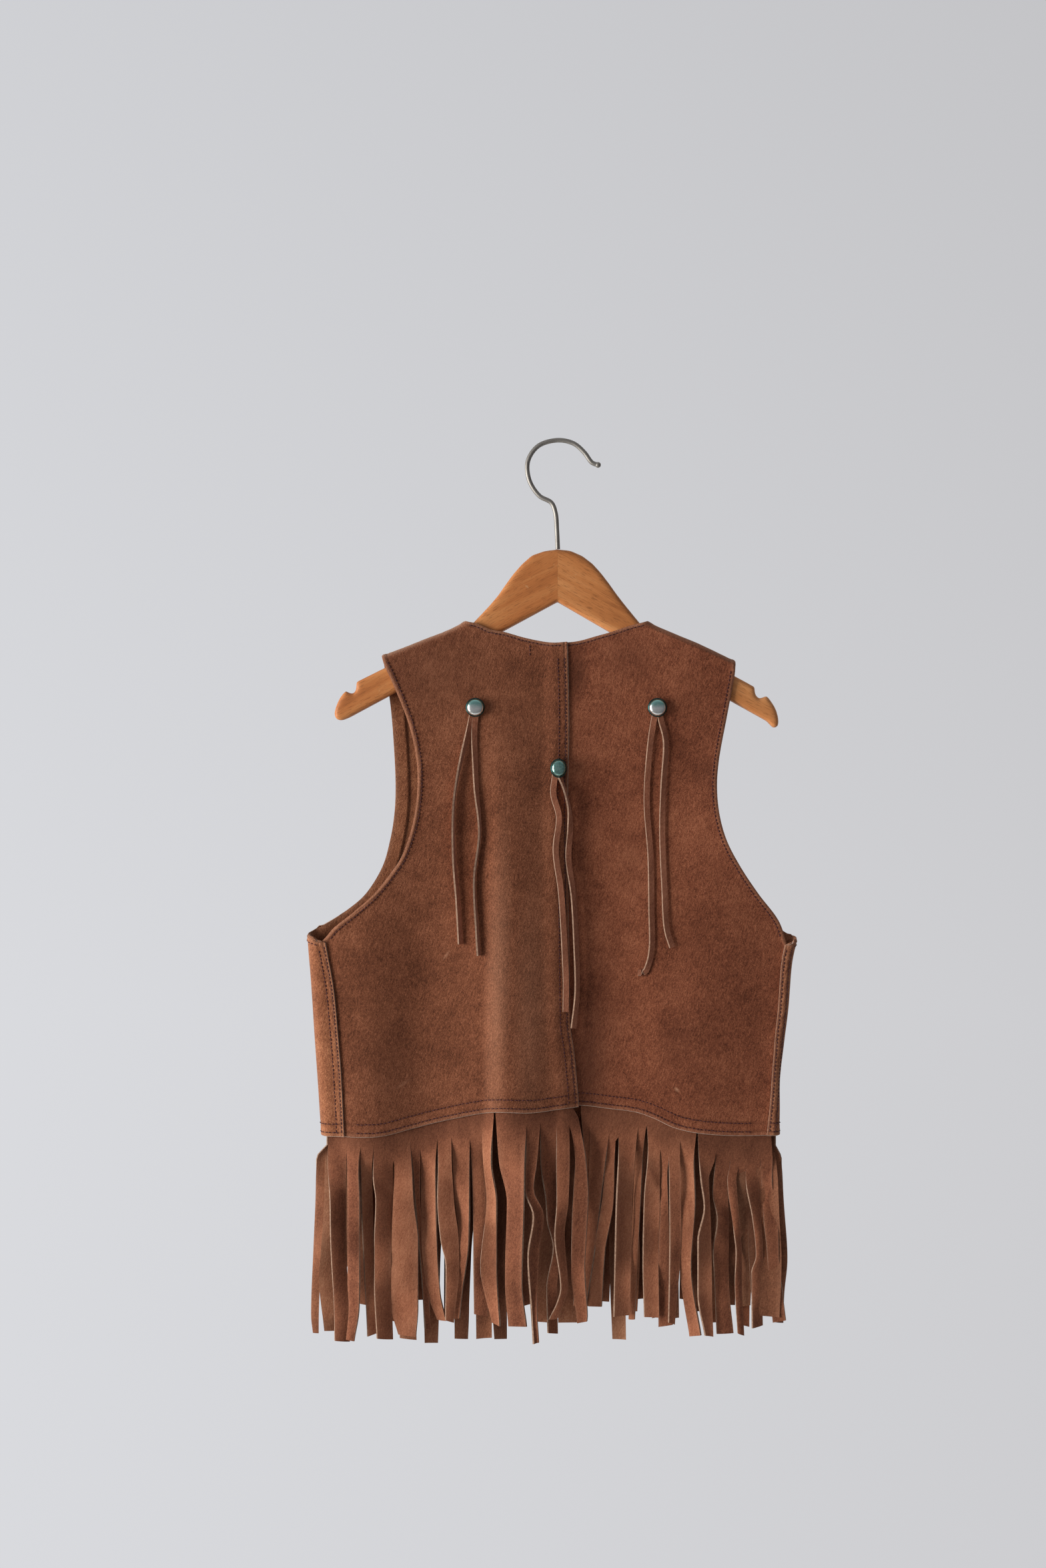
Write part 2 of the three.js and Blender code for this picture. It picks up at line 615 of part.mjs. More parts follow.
// Point of the cloth seen at x and z. It turns over the ridge of the shoulder, and below that hangs
// at its half depth. out is -1 on the back and 1 on the front.
function hung(x, z, depth, lift, out) {
  const seen = Math.max(0, lookUp(RIDGE, "x", "z", x) - z);
  if (seen < SHOULDER_DROP) {
    const angle = Math.acos(1 - seen / SHOULDER_DROP);
    return new THREE.Vector3(x, out * (RIDGE_GAP + (SHOULDER_REACH + lift) * Math.sin(angle)), z);
  }
  return new THREE.Vector3(x, out * (depth(x, z) + lift), z);
}

// How far the left back stands out near its cut edge, to clear the right back.
function centreLift(x, z) {
  const edge = lookUp(CENTRE_EDGE, "z", "x", z);
  return LAP_LIFT * ease(x, edge - 22, edge - 9.6);
}

const placeBackLeft = (x, z, lift) => hung(x, z, backHalfDepth, centreLift(x, z) + lift, -1);
const placeBackRight = (x, z, lift) => hung(x, z, backHalfDepth, lift, -1);

// The side fold at one height: its middle, its radius and which way is inward.
function sideFold(side, z) {
  const outline = side === "left" ? SIDE_OUTLINE_LEFT : SIDE_OUTLINE_RIGHT;
  const inward = side === "left" ? 1 : -1;
  const edge = lookUp(outline, "z", "x", z);
  const guard = edge + inward * FOLD_GUARD;
  const front = frontHalfDepth(guard, z);
  const back = -backHalfDepth(guard, z) - SIDE_LIFT;
  const radius = (front - back) / 2;
  return { middleX: edge + inward * radius, middleY: (front + back) / 2, radius, inward };
}

// Turns a row of a front's table into length across the cloth from the start of the side fold.
function acrossFront(side, row) {
  const fold = sideFold(side, row.z);
  const inside = fold.inward * (row.x - fold.middleX);
  if (row.side === "fold") return { x: (-Math.PI / 2) * fold.radius, z: row.z };
  if (row.side === "back") return { x: -Math.PI * fold.radius - inside, z: row.z };
  return { x: inside, z: row.z };
}

// Point of a front, that far across it. Below 0 it is on the side fold, and past that on the back.
function placeFront(side, across, z, lift) {
  const fold = sideFold(side, z);
  if (across >= 0) {
    return hung(fold.middleX + fold.inward * across, z, frontHalfDepth, lift, 1);
  }
  const angle = -across / fold.radius;
  if (angle <= Math.PI) {
    const radius = fold.radius + lift;
    const x = fold.middleX - fold.inward * radius * Math.sin(angle);
    return new THREE.Vector3(x, fold.middleY + radius * Math.cos(angle), z);
  }
  const x = fold.middleX + fold.inward * (-across - Math.PI * fold.radius);
  return new THREE.Vector3(x, -backHalfDepth(x, z) - SIDE_LIFT - lift, z);
}

// Mesh of a closed body. Faces are turned round where they point inward.
function closedMesh(name, points, triangles) {
  let volume = 0;
  for (const [a, b, c] of triangles) {
    volume += points[a].dot(new THREE.Vector3().crossVectors(points[b], points[c]));
  }
  const faces = volume < 0 ? triangles.map(([a, b, c]) => [a, c, b]) : triangles;
  const geometry = new THREE.BufferGeometry();
  geometry.setAttribute("position", new THREE.Float32BufferAttribute(points.flatMap((p) => p.toArray()), 3));
  geometry.setIndex(faces.flat());
  return namedMesh(name, geometry);
}

function namedMesh(name, geometry) {
  geometry.computeVertexNormals();
  const mesh = new THREE.Mesh(geometry, new THREE.MeshStandardMaterial());
  mesh.name = name;
  return mesh;
}

function quad(a, b, c, d) {
  return [
    [a, b, c],
    [a, c, d],
  ];
}

// Direction out of the cloth at a point of a grid, from the points beside it.
function gridNormal(grid, i, j) {
  const column = grid[i];
  const left = grid[Math.max(0, i - 1)][j];
  const right = grid[Math.min(grid.length - 1, i + 1)][j];
  const below = column[Math.max(0, j - 1)];
  const above = column[Math.min(column.length - 1, j + 1)];
  const acrossWay = new THREE.Vector3().subVectors(right, left);
  const upWay = new THREE.Vector3().subVectors(above, below);
  return new THREE.Vector3().crossVectors(acrossWay, upWay).normalize();
}

// Closed wall about a grid of middle points.
function wallMesh(name, grid) {
  const rows = grid[0].length;
  const points = [];
  for (const way of [1, -1]) {
    grid.forEach((column, i) =>
      column.forEach((point, j) => {
        points.push(point.clone().addScaledVector(gridNormal(grid, i, j), (way * WALL) / 2));
      }),
    );
  }
  const at = (i, j, face) => face * grid.length * rows + i * rows + j;
  const triangles = [];
  for (let i = 0; i + 1 < grid.length; i++) {
    for (let j = 0; j + 1 < rows; j++) {
      triangles.push(...quad(at(i, j, 0), at(i + 1, j, 0), at(i + 1, j + 1, 0), at(i, j + 1, 0)));
      triangles.push(...quad(at(i, j, 1), at(i, j + 1, 1), at(i + 1, j + 1, 1), at(i + 1, j, 1)));
    }
    const top = rows - 1;
    triangles.push(...quad(at(i, 0, 0), at(i, 0, 1), at(i + 1, 0, 1), at(i + 1, 0, 0)));
    triangles.push(...quad(at(i, top, 0), at(i + 1, top, 0), at(i + 1, top, 1), at(i, top, 1)));
  }
  const end = grid.length - 1;
  for (let j = 0; j + 1 < rows; j++) {
    triangles.push(...quad(at(0, j, 0), at(0, j + 1, 0), at(0, j + 1, 1), at(0, j, 1)));
    triangles.push(...quad(at(end, j, 0), at(end, j, 1), at(end, j + 1, 1), at(end, j + 1, 0)));
  }
  return closedMesh(name, points, triangles);
}


// Points on the ridge of the shoulders at even steps in x.
function ridgeRun(fromX, toX, shares) {
  return shares.map((share) => {
    const x = mix(fromX, toX, share);
    return { x, z: lookUp(RIDGE, "x", "z", x) };
  });
}

// Rows of a side seam from the hem up, moved outward.
function sideLine(seam, outward) {
  return [...seam].reverse().map((row) => ({ ...row, x: row.x + outward }));
}

// Grid of a back from its side to the middle, which is inset from the cut edge of the left back.
function backGrid(cut) {
  const side = sideLine(cut.seam, cut.outward * cut.sideLap);
  const armhole = [side[side.length - 1], ...cut.armhole];
  const near = joined(along(side, evenShares(LOW_ROWS)), along(armhole, highShares()));
  const tip = near[near.length - 1];
  const corner = SHOULDER_SHARES[SHOULDER_SHARES.length - 1];
  const shoulder = ridgeRun(tip.x, cut.neckline[0].x, SHOULDER_SHARES.map((share) => share / corner));
  const neckline = along(cut.neckline, NECK_SHARES.map((share) => (share - corner) / (1 - corner)));
  const top = [...shoulder, ...neckline];
  const columnShares = [...SHOULDER_SHARES, ...NECK_SHARES];
  const foot = along([side[0], ...cut.hem], columnShares);
  const footEnd = foot[foot.length - 1];
  const topEnd = top[top.length - 1];
  const far = rowShares().map((share) => {
    const z = mix(footEnd.z, topEnd.z, share);
    return { x: lookUp(CENTRE_EDGE, "z", "x", z) - cut.centreInset, z };
  });
  near[near.length - 1] = top[0];
  far[0] = footEnd;
  far[far.length - 1] = topEnd;
  return coonsGrid({ foot, top, near, far }, columnShares);
}

// Columns of the left back past its grid, out to its cut edge.
function lapColumns(far) {
  return LAP_COLUMNS.map((inset) =>
    far.map((row) => {
      const advance = CENTRE_INSET_LEFT - inset;
      return { x: row.x + advance, z: row.z + advance * LAP_SLOPE };
    }),
  );
}

function frontGrid(cut) {
  const flat = (row) => acrossFront(cut.side, row);
  const seam = sideLine(cut.seam, 0).map((row) => flat({ ...row, side: "back" }));
  const near = joined(along(seam, evenShares(LOW_ROWS)), along(cut.armhole.map(flat), highShares()));
  const far = joined(
    along(cut.edge.map(flat), evenShares(LOW_ROWS)),
    along(cut.neck.map(flat), highShares()),
  );
  const tipX = cut.armhole[cut.armhole.length - 1].x;
  const neckX = cut.neck[cut.neck.length - 1].x;
  const top = ridgeRun(tipX, neckX, FRONT_COLUMN_SHARES).map(flat);
  near[near.length - 1] = top[0];
  far[far.length - 1] = top[top.length - 1];
  const foot = FRONT_COLUMN_SHARES.map((share) => ({ x: mix(near[0].x, far[0].x, share), z: near[0].z }));
  return roundFold(cut.side, coonsGrid({ foot, top, near, far }, FRONT_COLUMN_SHARES));
}

// Moves the first columns of a front's grid to even steps round the side fold, where it has one.
function roundFold(side, grid) {
  return grid.map((column, i) =>
    column.map((point) => {
      if (i === 0 || i > FOLD_COLUMNS + 1) return point;
      const round = -Math.PI * sideFold(side, point.z).radius * (1 - (i - 1) / FOLD_COLUMNS);
      return { x: Math.max(round, point.x), z: point.z };
    }),
  );
}

function placed(grid, place) {
  return grid.map((column) => column.map((point) => place(point.x, point.z, 0)));
}

// Point inside a panel, on the straight line between the panel's own columns.
function onPanel(band, x, z, inset) {
  const columns = band.panelColumns;
  const next = columns.findIndex((column) => column >= x);
  if (next < 1) return band.place(x, z, inset);
  const from = band.place(columns[next - 1], z, inset);
  const to = band.place(columns[next], z, inset);
  return from.lerp(to, (x - columns[next - 1]) / (columns[next] - columns[next - 1]));
}

// A slit band: a strip behind the hem whose strands part at the slits. place(x, z, inset) gives a point
// that far inside the panel's middle, hemAt(x) the height of the hem, and panelColumns the columns of the
// panel's grid, which the strip follows.
function bandMesh(name, band) {
  const inset = WALL / 2 + BAND_GAP + STRIP_WALL / 2;
  const points = [];
  const triangles = [];
  const add = (x, z) => ({
    outer: points.push(onPanel(band, x, z, inset - STRIP_WALL / 2)) - 1,
    inner: points.push(onPanel(band, x, z, inset + STRIP_WALL / 2)) - 1,
  });
  const tucked = band.slits.map((slit, index) => slit.x + (band.tuckShift?.[index] ?? 0));
  const column = (x) => [add(x, band.hemAt(x) + BAND_TUCK), add(x, band.hemAt(x) - BAND_DROP)];
  const roots = band.slits.map((slit) => add(slit.x, slit.z));
  const strip = [column(tucked[0])];
  const last = roots.length - 1;
  for (let i = 0; i < last; i++) {
    const first = strip.length - 1;
    const between = band.panelColumns.filter((x) => x > tucked[i] + 1 && x < tucked[i + 1] - 1);
    strip.push(...[...between, tucked[i + 1]].map(column));
    for (let at = first; at + 1 < strip.length; at++) {
      const [here, next] = [strip[at], strip[at + 1]];
      triangles.push(...quad(here[0].outer, here[1].outer, next[1].outer, next[0].outer));
      triangles.push(...quad(here[0].inner, next[0].inner, next[1].inner, here[1].inner));
      triangles.push(...quad(here[0].outer, next[0].outer, next[0].inner, here[0].inner));
      triangles.push([here[1].outer, roots[i].outer, next[1].outer]);
      triangles.push([here[1].inner, next[1].inner, roots[i].inner]);
    }
    const end = strip[strip.length - 1];
    triangles.push([end[1].outer, roots[i].outer, roots[i + 1].outer]);
    triangles.push([end[1].inner, roots[i + 1].inner, roots[i].inner]);
  }
  const near = [...strip[0], roots[0]];
  const far = [...strip[strip.length - 1], roots[last]];
  for (let row = 0; row < 2; row++) {
    triangles.push(...quad(near[row].outer, near[row].inner, near[row + 1].inner, near[row + 1].outer));
    triangles.push(...quad(far[row].outer, far[row + 1].outer, far[row + 1].inner, far[row].inner));
  }
  band.strands.forEach((strand, index) => {
    const [left, right] = [roots[index], roots[index + 1]];
    let ring = [left.outer, right.outer, right.inner, left.inner];
    const root = points[left.outer].clone().add(points[right.inner]).multiplyScalar(0.5);
    const rootWidth = points[left.outer].distanceTo(points[right.outer]);
    for (const section of strandSections(strand, root, rootWidth, index)) {
      const next = section.map((point) => points.push(point) - 1);
      for (let edge = 0; edge < 4; edge++) {
        const after = (edge + 1) % 4;
        triangles.push(...quad(ring[edge], next[edge], next[after], ring[after]));
      }
      ring = next;
    }
    triangles.push(...quad(ring[0], ring[3], ring[2], ring[1]));
  });
  return closedMesh(name, points, triangles);
}

// Corners of a strand's sections below its root. It is twisted where it is seen narrower than it was cut.
function strandSections(strand, root, rootWidth, index) {
  const knots = [
    { z: root.z, x: root.x, width: rootWidth },
    { z: STRAND_HIGH_Z, x: strand.highX, width: strand.highWidth },
    { z: STRAND_LOW_Z, x: strand.lowX, width: strand.lowWidth },
    { z: strand.tipZ, x: strand.tipX, width: strand.tipWidth },
  ];
  const sections = [];
  for (let step = 1; step <= STRAND_STEPS; step++) {
    const z = mix(root.z, strand.tipZ, step / STRAND_STEPS);
    const x = lookUp(knots, "z", "x", z);
    const seen = lookUp(knots, "z", "width", z);
    const cut = Math.min(Math.max(rootWidth, seen), seen * MOST_NARROWING);
    const twist = Math.acos(seen / cut) * (index % 2 ? 1 : -1);
    const y = root.y + strand.layer * LAYER_STEP * ease(root.z - z, 0, 30);
    const half = new THREE.Vector3(Math.cos(twist), Math.sin(twist), 0).multiplyScalar(cut / 2);
    const thick = new THREE.Vector3(-Math.sin(twist), Math.cos(twist), 0).multiplyScalar(STRIP_WALL / 2);
    const middle = new THREE.Vector3(x, y, z);
    sections.push([
      middle.clone().sub(half).sub(thick),
      middle.clone().add(half).sub(thick),
      middle.clone().add(half).add(thick),
      middle.clone().sub(half).add(thick),
    ]);
  }
  return sections;
}

// Band of a front, from the side fold to the open edge, with even strands.
function frontBand(side, sideStrand, grid) {
  const fold = sideFold(side, FRONT_HEM_Z);
  const start = -FRONT_BAND_TURN * fold.radius;
  const edge = side === "left" ? FRONT_EDGE_LEFT[0] : FRONT_EDGE_RIGHT[0];
  const end = acrossFront(side, edge).x;
  const slits = evenShares(FRONT_STRANDS).map((share, index) => ({
    x: mix(start, end, share),
    z: FRONT_HEM_Z - FRONT_SLIT_DROP - 3 * Math.sin(index * 2.3),
  }));
  const pitch = (end - start) / FRONT_STRANDS;
  const strands = [];
  for (let index = 0; index < FRONT_STRANDS; index++) {
    const root = placeFront(side, (slits[index].x + slits[index + 1].x) / 2, FRONT_HEM_Z, 0);
    const sway = 1.1 * Math.sin(index * 1.7);
    const width = pitch * FRONT_STRAND_SHARE;
    strands.push({
      highX: root.x + sway,
      highWidth: width,
      lowX: root.x - sway,
      lowWidth: width * (0.94 + 0.05 * Math.cos(index * 2.1)),
      tipX: root.x + sway * 0.6,
      tipWidth: width,
      tipZ: FRONT_TIP_Z - 4 * Math.sin(index * 1.3),
      layer: 0,
    });
  }
  strands[0] = sideStrand;
  return {
    slits,
    strands,
    hemAt: () => FRONT_HEM_Z,
    place: (across, z, inset) => placeFront(side, across, z, -inset),
    panelColumns: footColumns(grid),
  };
}

const footColumns = (grid) => grid.map((column) => column[0].x).sort((first, second) => first - second);

const hemHeight = (hem) => (x) => lookUp(hem, "x", "z", x);

// Manifold of a geometry, for joins and cuts.
function solidOf(geometry) {
  const plain = geometry.clone();
  plain.deleteAttribute("normal");
  plain.deleteAttribute("uv");
  const merged = mergeVertices(plain, 1e-4);
  const mesh = new wasm.Mesh({
    numProp: 3,
    vertProperties: merged.attributes.position.array,
    triVerts: new Uint32Array(merged.index.array),
  });
  return new wasm.Manifold(mesh);
}

function meshOf(name, solid) {
  const { vertProperties, triVerts, numProp } = solid.getMesh();
  const points = [];
  for (let at = 0; at < vertProperties.length; at += numProp) {
    points.push(new THREE.Vector3(vertProperties[at], vertProperties[at + 1], vertProperties[at + 2]));
  }
  const triangles = [];
  for (let at = 0; at < triVerts.length; at += 3) {
    triangles.push([triVerts[at], triVerts[at + 1], triVerts[at + 2]]);
  }
  return closedMesh(name, points, triangles);
}

// Outer face of a back panel at a point, as y.
const outerFace = (place, x, z) => place(x, z, 0).y - WALL / 2;

// A flat tail that hangs down the outside of a back along its rows.
function tailGeometry(rows, place, rootY) {
  const points = [];
  const triangles = [];
  rows.forEach((row, index) => {
    const before = rows[Math.max(0, index - 1)];
    const after = rows[Math.min(rows.length - 1, index + 1)];
    const along = new THREE.Vector3(after.x - before.x, 0, after.z - before.z).normalize();
    const sideways = new THREE.Vector3(-along.z, 0, along.x);
    const half = sideways.multiplyScalar(Math.cos(row.turn)).add(new THREE.Vector3(0, Math.sin(row.turn), 0));
    const thick = new THREE.Vector3().crossVectors(half, along);
    half.multiplyScalar(THONG_WIDTH / 2);
    thick.multiplyScalar(STRIP_WALL / 2);
    const reach = STRIP_WALL / 2 + (THONG_WIDTH / 2) * Math.sin(row.turn);
    const free = outerFace(place, row.x, row.z) - THONG_CLEARANCE - reach;
    const middle = new THREE.Vector3(row.x, index === 0 ? rootY : free, row.z);
    points.push(middle.clone().sub(half).sub(thick));
    points.push(middle.clone().add(half).sub(thick));
    points.push(middle.clone().add(half).add(thick));
    points.push(middle.clone().sub(half).add(thick));
    if (index === 0) return;
    const [low, high] = [index * 4, (index - 1) * 4];
    for (let edge = 0; edge < 4; edge++) {
      const next = (edge + 1) % 4;
      triangles.push(...quad(high + edge, low + edge, low + next, high + next));
    }
  });
  const end = points.length - 4;
  triangles.push(...quad(0, 1, 2, 3), ...quad(end, end + 3, end + 2, end + 1));
  return closedMesh("tail", points, triangles).geometry;
}

// Two tails that hang from a flat head under a stud.
function thongMesh(name, stud, tails, place) {
  const headOuter = outerFace(place, stud.x, stud.z) - STUD_SEAT - STRIP_WALL;
  const head = new THREE.CylinderGeometry(THONG_HEAD_RADIUS, THONG_HEAD_RADIUS, STRIP_WALL, 14);
  head.translate(stud.x, headOuter + STRIP_WALL / 2, stud.z);
  let solid = solidOf(head);
  for (const rows of tails) {
    solid = solid.add(solidOf(tailGeometry(rows, place, headOuter + STRIP_WALL / 2)));
  }
  return meshOf(name, solid);
}

function studMesh(name, stud, place) {
  const seat = outerFace(place, stud.x, stud.z) - STUD_SEAT - STRIP_WALL - STUD_GAP;
  const profile = [
    new THREE.Vector2(0, 0),
    new THREE.Vector2(STUD_RADIUS, 0),
    new THREE.Vector2(STUD_RADIUS, STUD_RIM),
    new THREE.Vector2(STUD_RADIUS * 0.88, STUD_RIM + 0.62 * (STUD_DOME - STUD_RIM) * 0.5),
    new THREE.Vector2(STUD_RADIUS * 0.62, STUD_RIM + 0.72 * (STUD_DOME - STUD_RIM)),
    new THREE.Vector2(STUD_RADIUS * 0.32, STUD_RIM + 0.93 * (STUD_DOME - STUD_RIM)),
    new THREE.Vector2(0, STUD_DOME),
  ];
  const dome = new THREE.LatheGeometry(profile, STUD_SIDES);
  dome.rotateX(Math.PI);
  dome.translate(stud.x, seat, stud.z);
  return meshOf(name, solidOf(dome));
}

// Hanger as one rounded board, then parted at the glue line.
function hangerHalves() {
  const smooth = (rows, count) => along(rows, evenShares(count));
  const outline = [
    ...smooth(WOOD_CROWN_LEFT, 9),
    ...smooth(WOOD_END_LEFT, 16),
    ...WOOD_UNDER_LEFT,
    ...[...WOOD_UNDER_RIGHT].reverse(),
    ...smooth([...WOOD_END_RIGHT].reverse(), 16),
    ...smooth([...WOOD_CROWN_RIGHT].reverse(), 9).slice(0, -1),
  ];
  const shape = new THREE.Shape(outline.map((row) => new THREE.Vector2(row.x, row.z)));
  const board = new THREE.ExtrudeGeometry(shape, {
    depth: WOOD_DEPTH - 2 * WOOD_ROUNDING,
    bevelThickness: WOOD_ROUNDING,
    bevelSize: WOOD_ROUNDING,
    bevelOffset: -WOOD_ROUNDING,
    bevelSegments: 2,
    curveSegments: 1,
  });
  board.rotateX(Math.PI / 2);
  board.translate(0, WOOD_DEPTH / 2 - WOOD_ROUNDING, 0);
  const solid = solidOf(board);
  const half = (way) => {
    const block = new THREE.BoxGeometry(400, 100, 400);
    block.translate(way * (200 + GLUE_LINE / 2), 0, -150);
    return solid.intersect(solidOf(block));
  };
  return [meshOf("hanger_left", half(-1)), meshOf("hanger_right", half(1))];
}

function hookMesh() {
  const curve = new THREE.CatmullRomCurve3(
    HOOK_LINE.map((row) => new THREE.Vector3(row.x, 0, row.z)),
    false,
    "centripetal",
  );
  const round = new THREE.Shape();
  round.absarc(0, 0, WIRE_RADIUS, 0, Math.PI * 2);
  const wire = new THREE.ExtrudeGeometry(round, {
    steps: WIRE_STEPS,
    curveSegments: WIRE_SIDES,
    bevelEnabled: false,
    extrudePath: curve,
  });
  const end = HOOK_LINE[HOOK_LINE.length - 1];
  const ball = new THREE.SphereGeometry(BALL_RADIUS, 12, 8).translate(end.x, 0, end.z);
  return meshOf("hook", solidOf(wire).add(solidOf(ball)));
}

const vest = new THREE.Group();
vest.name = "fringed_vest_on_hanger";

const leftGrid = backGrid({
  seam: SIDE_SEAM_LEFT,
  outward: -1,
  sideLap: SIDE_LAP_LEFT,
  armhole: BACK_ARMHOLE_LEFT,
  neckline: NECKLINE_LEFT,
  hem: BACK_HEM_LEFT,
  centreInset: CENTRE_INSET_LEFT,
});
leftGrid.push(...lapColumns(leftGrid[leftGrid.length - 1]));
vest.add(wallMesh("back_left", placed(leftGrid, placeBackLeft)));

const rightGrid = backGrid({
  seam: SIDE_SEAM_RIGHT,
  outward: 1,
  sideLap: SIDE_LAP_RIGHT,
  armhole: BACK_ARMHOLE_RIGHT,
  neckline: NECKLINE_RIGHT,
  hem: BACK_HEM_RIGHT,
  centreInset: CENTRE_LAP,
});
vest.add(wallMesh("back_right", placed(rightGrid, placeBackRight)));

const frontGrids = {};
for (const cut of [
  { side: "left", seam: SIDE_SEAM_LEFT, armhole: FRONT_ARMHOLE_LEFT, edge: FRONT_EDGE_LEFT, neck: FRONT_NECK_LEFT },
  { side: "right", seam: SIDE_SEAM_RIGHT, armhole: FRONT_ARMHOLE_RIGHT, edge: FRONT_EDGE_RIGHT, neck: FRONT_NECK_RIGHT },
]) {
  const place = (across, z, lift) => placeFront(cut.side, across, z, lift);
  frontGrids[cut.side] = frontGrid(cut);
  vest.add(wallMesh(`front_${cut.side}`, placed(frontGrids[cut.side], place)));
}

const insideLeft = (x, z, inset) => placeBackLeft(x, z, -inset);
const insideRight = (x, z, inset) => placeBackRight(x, z, -inset);
vest.add(
  bandMesh("fringe_back_left_outer", {
    slits: BACK_LEFT_OUTER_SLITS,
    strands: BACK_LEFT_OUTER_STRANDS,
    hemAt: hemHeight(BACK_HEM_LEFT),
    place: insideLeft,
    panelColumns: footColumns(leftGrid),
  }),
);
vest.add(
  bandMesh("fringe_back_left_inner", {
    slits: BACK_LEFT_INNER_SLITS,
    strands: BACK_LEFT_INNER_STRANDS,
    hemAt: hemHeight(BACK_HEM_LEFT),
    place: insideLeft,
    tuckShift: INNER_TUCK_SHIFT,
    panelColumns: footColumns(leftGrid),
  }),
);
vest.add(
  bandMesh("fringe_back_right_inner", {
    slits: BACK_RIGHT_INNER_SLITS,
    strands: BACK_RIGHT_INNER_STRANDS,
    hemAt: hemHeight(BACK_HEM_RIGHT),
    place: insideRight,
    panelColumns: footColumns(rightGrid),
  }),
);
vest.add(
  bandMesh("fringe_back_right_outer", {
    slits: BACK_RIGHT_OUTER_SLITS,
    strands: BACK_RIGHT_OUTER_STRANDS,
    hemAt: hemHeight(BACK_HEM_RIGHT),
    place: insideRight,
    panelColumns: footColumns(rightGrid),
  }),
);
vest.add(bandMesh("fringe_front_left", frontBand("left", FRONT_SIDE_STRAND_LEFT, frontGrids.left)));
vest.add(bandMesh("fringe_front_right", frontBand("right", FRONT_SIDE_STRAND_RIGHT, frontGrids.right)));

vest.add(thongMesh("thong_left", STUD_LEFT, [THONG_LEFT_A, THONG_LEFT_B], placeBackLeft));
vest.add(thongMesh("thong_right", STUD_RIGHT, [THONG_RIGHT_A, THONG_RIGHT_B], placeBackRight));
vest.add(thongMesh("thong_centre", STUD_CENTRE, [THONG_CENTRE_A, THONG_CENTRE_B], placeBackLeft));
vest.add(studMesh("stud_left", STUD_LEFT, placeBackLeft));
vest.add(studMesh("stud_right", STUD_RIGHT, placeBackRight));
vest.add(studMesh("stud_centre", STUD_CENTRE, placeBackLeft));

vest.add(...hangerHalves());
vest.add(hookMesh());

export default vest;
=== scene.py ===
"""Looks of a child's fringed suede vest on a wooden hanger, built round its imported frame.

Tables and shapes are in millimetres and become metres when a mesh is made. +Z is up, the back of the vest
faces -Y and +X is to the right of one who looks at the back.
"""

import math

import bpy
import bmesh
import numpy as np
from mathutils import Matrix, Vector


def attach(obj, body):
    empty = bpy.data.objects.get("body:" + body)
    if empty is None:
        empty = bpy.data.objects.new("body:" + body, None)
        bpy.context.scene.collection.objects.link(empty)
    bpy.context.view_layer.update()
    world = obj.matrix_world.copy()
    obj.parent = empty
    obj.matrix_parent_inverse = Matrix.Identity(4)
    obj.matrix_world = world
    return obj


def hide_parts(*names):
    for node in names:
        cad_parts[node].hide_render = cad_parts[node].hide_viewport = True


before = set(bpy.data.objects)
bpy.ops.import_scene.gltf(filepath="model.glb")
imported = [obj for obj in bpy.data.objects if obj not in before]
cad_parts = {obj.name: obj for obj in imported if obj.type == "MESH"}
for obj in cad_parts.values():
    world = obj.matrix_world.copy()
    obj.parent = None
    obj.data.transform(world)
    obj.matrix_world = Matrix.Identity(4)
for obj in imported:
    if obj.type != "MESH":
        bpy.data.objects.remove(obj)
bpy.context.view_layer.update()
draw = np.random.default_rng(11)

MM = 0.001

# Suede, as in the solids
WALL = 1.6
STRIP_WALL = 1.2
GAP = 0.3
LAP_LIFT = WALL + GAP
SIDE_LIFT = LAP_LIFT + GAP
BAND_GAP = 0.45
SIDE_LAP = {"left": 4.2, "right": 1.8}
LAP_START, LAP_END = 22, 9.6  # in from its centre edge, where the left back rises over the right one
LOW_SHARE = 0.4  # of a panel's height, below the underarm
CORNER_SHARE = 0.36  # of a back's top edge, up to the neck corner
FRONT_HEM_Z = -547.0
SHOULDER_Z = -170.0
LAYER_STEP = 2.1
BAND_TUCK = 11.0

# Half depth of the body, which grows towards the hem and flattens towards the sides
HANG_HALF_DEPTH = 7.6
HEM_FULLNESS = 3.2
FULLNESS_START, FULLNESS_END = 230, 520  # below the origin
FLATNESS = {"left": 0.74, "right": 0.34}
FLAT_REACH = {"left": 26.0, "right": 92}
FLAT_START, FLAT_END = 300, 380  # below the origin
RIDGE_GAP = 0.45
SHOULDER_REACH = HANG_HALF_DEPTH - RIDGE_GAP
SHOULDER_DROP = 4.6
FOLD_GUARD = 8.0
FOLD_FADE = 150.0
SPLINE_STEPS = 40  # from one row of a table to the next


def smooth_line(at, keys, values):
    """Values along a table, with no overshoot between its rows."""
    order = np.argsort(keys)
    keys, values = np.asarray(keys, float)[order], np.asarray(values, float)[order]
    steps = np.diff(keys)
    rises = np.diff(values) / steps
    before, after = rises[:-1], rises[1:]
    slopes = np.concatenate([rises[:1], np.zeros(len(before)), rises[-1:]])
    same_way = before * after > 0
    total = np.where(same_way, before + after, 1)
    slopes[1:-1] = np.where(same_way, 2 * before * after / total, 0)
    at = np.clip(at, keys[0], keys[-1])
    cell = np.clip(np.searchsorted(keys, at, side="right") - 1, 0, len(keys) - 2)
    step = steps[cell]
    share = (at - keys[cell]) / step
    rest = 1 - share
    return (
        (1 + 2 * share) * rest * rest * values[cell]
        + share * rest * rest * step * slopes[cell]
        + share * share * (1 + 2 * rest) * values[cell + 1]
        - share * share * rest * step * slopes[cell + 1]
    )


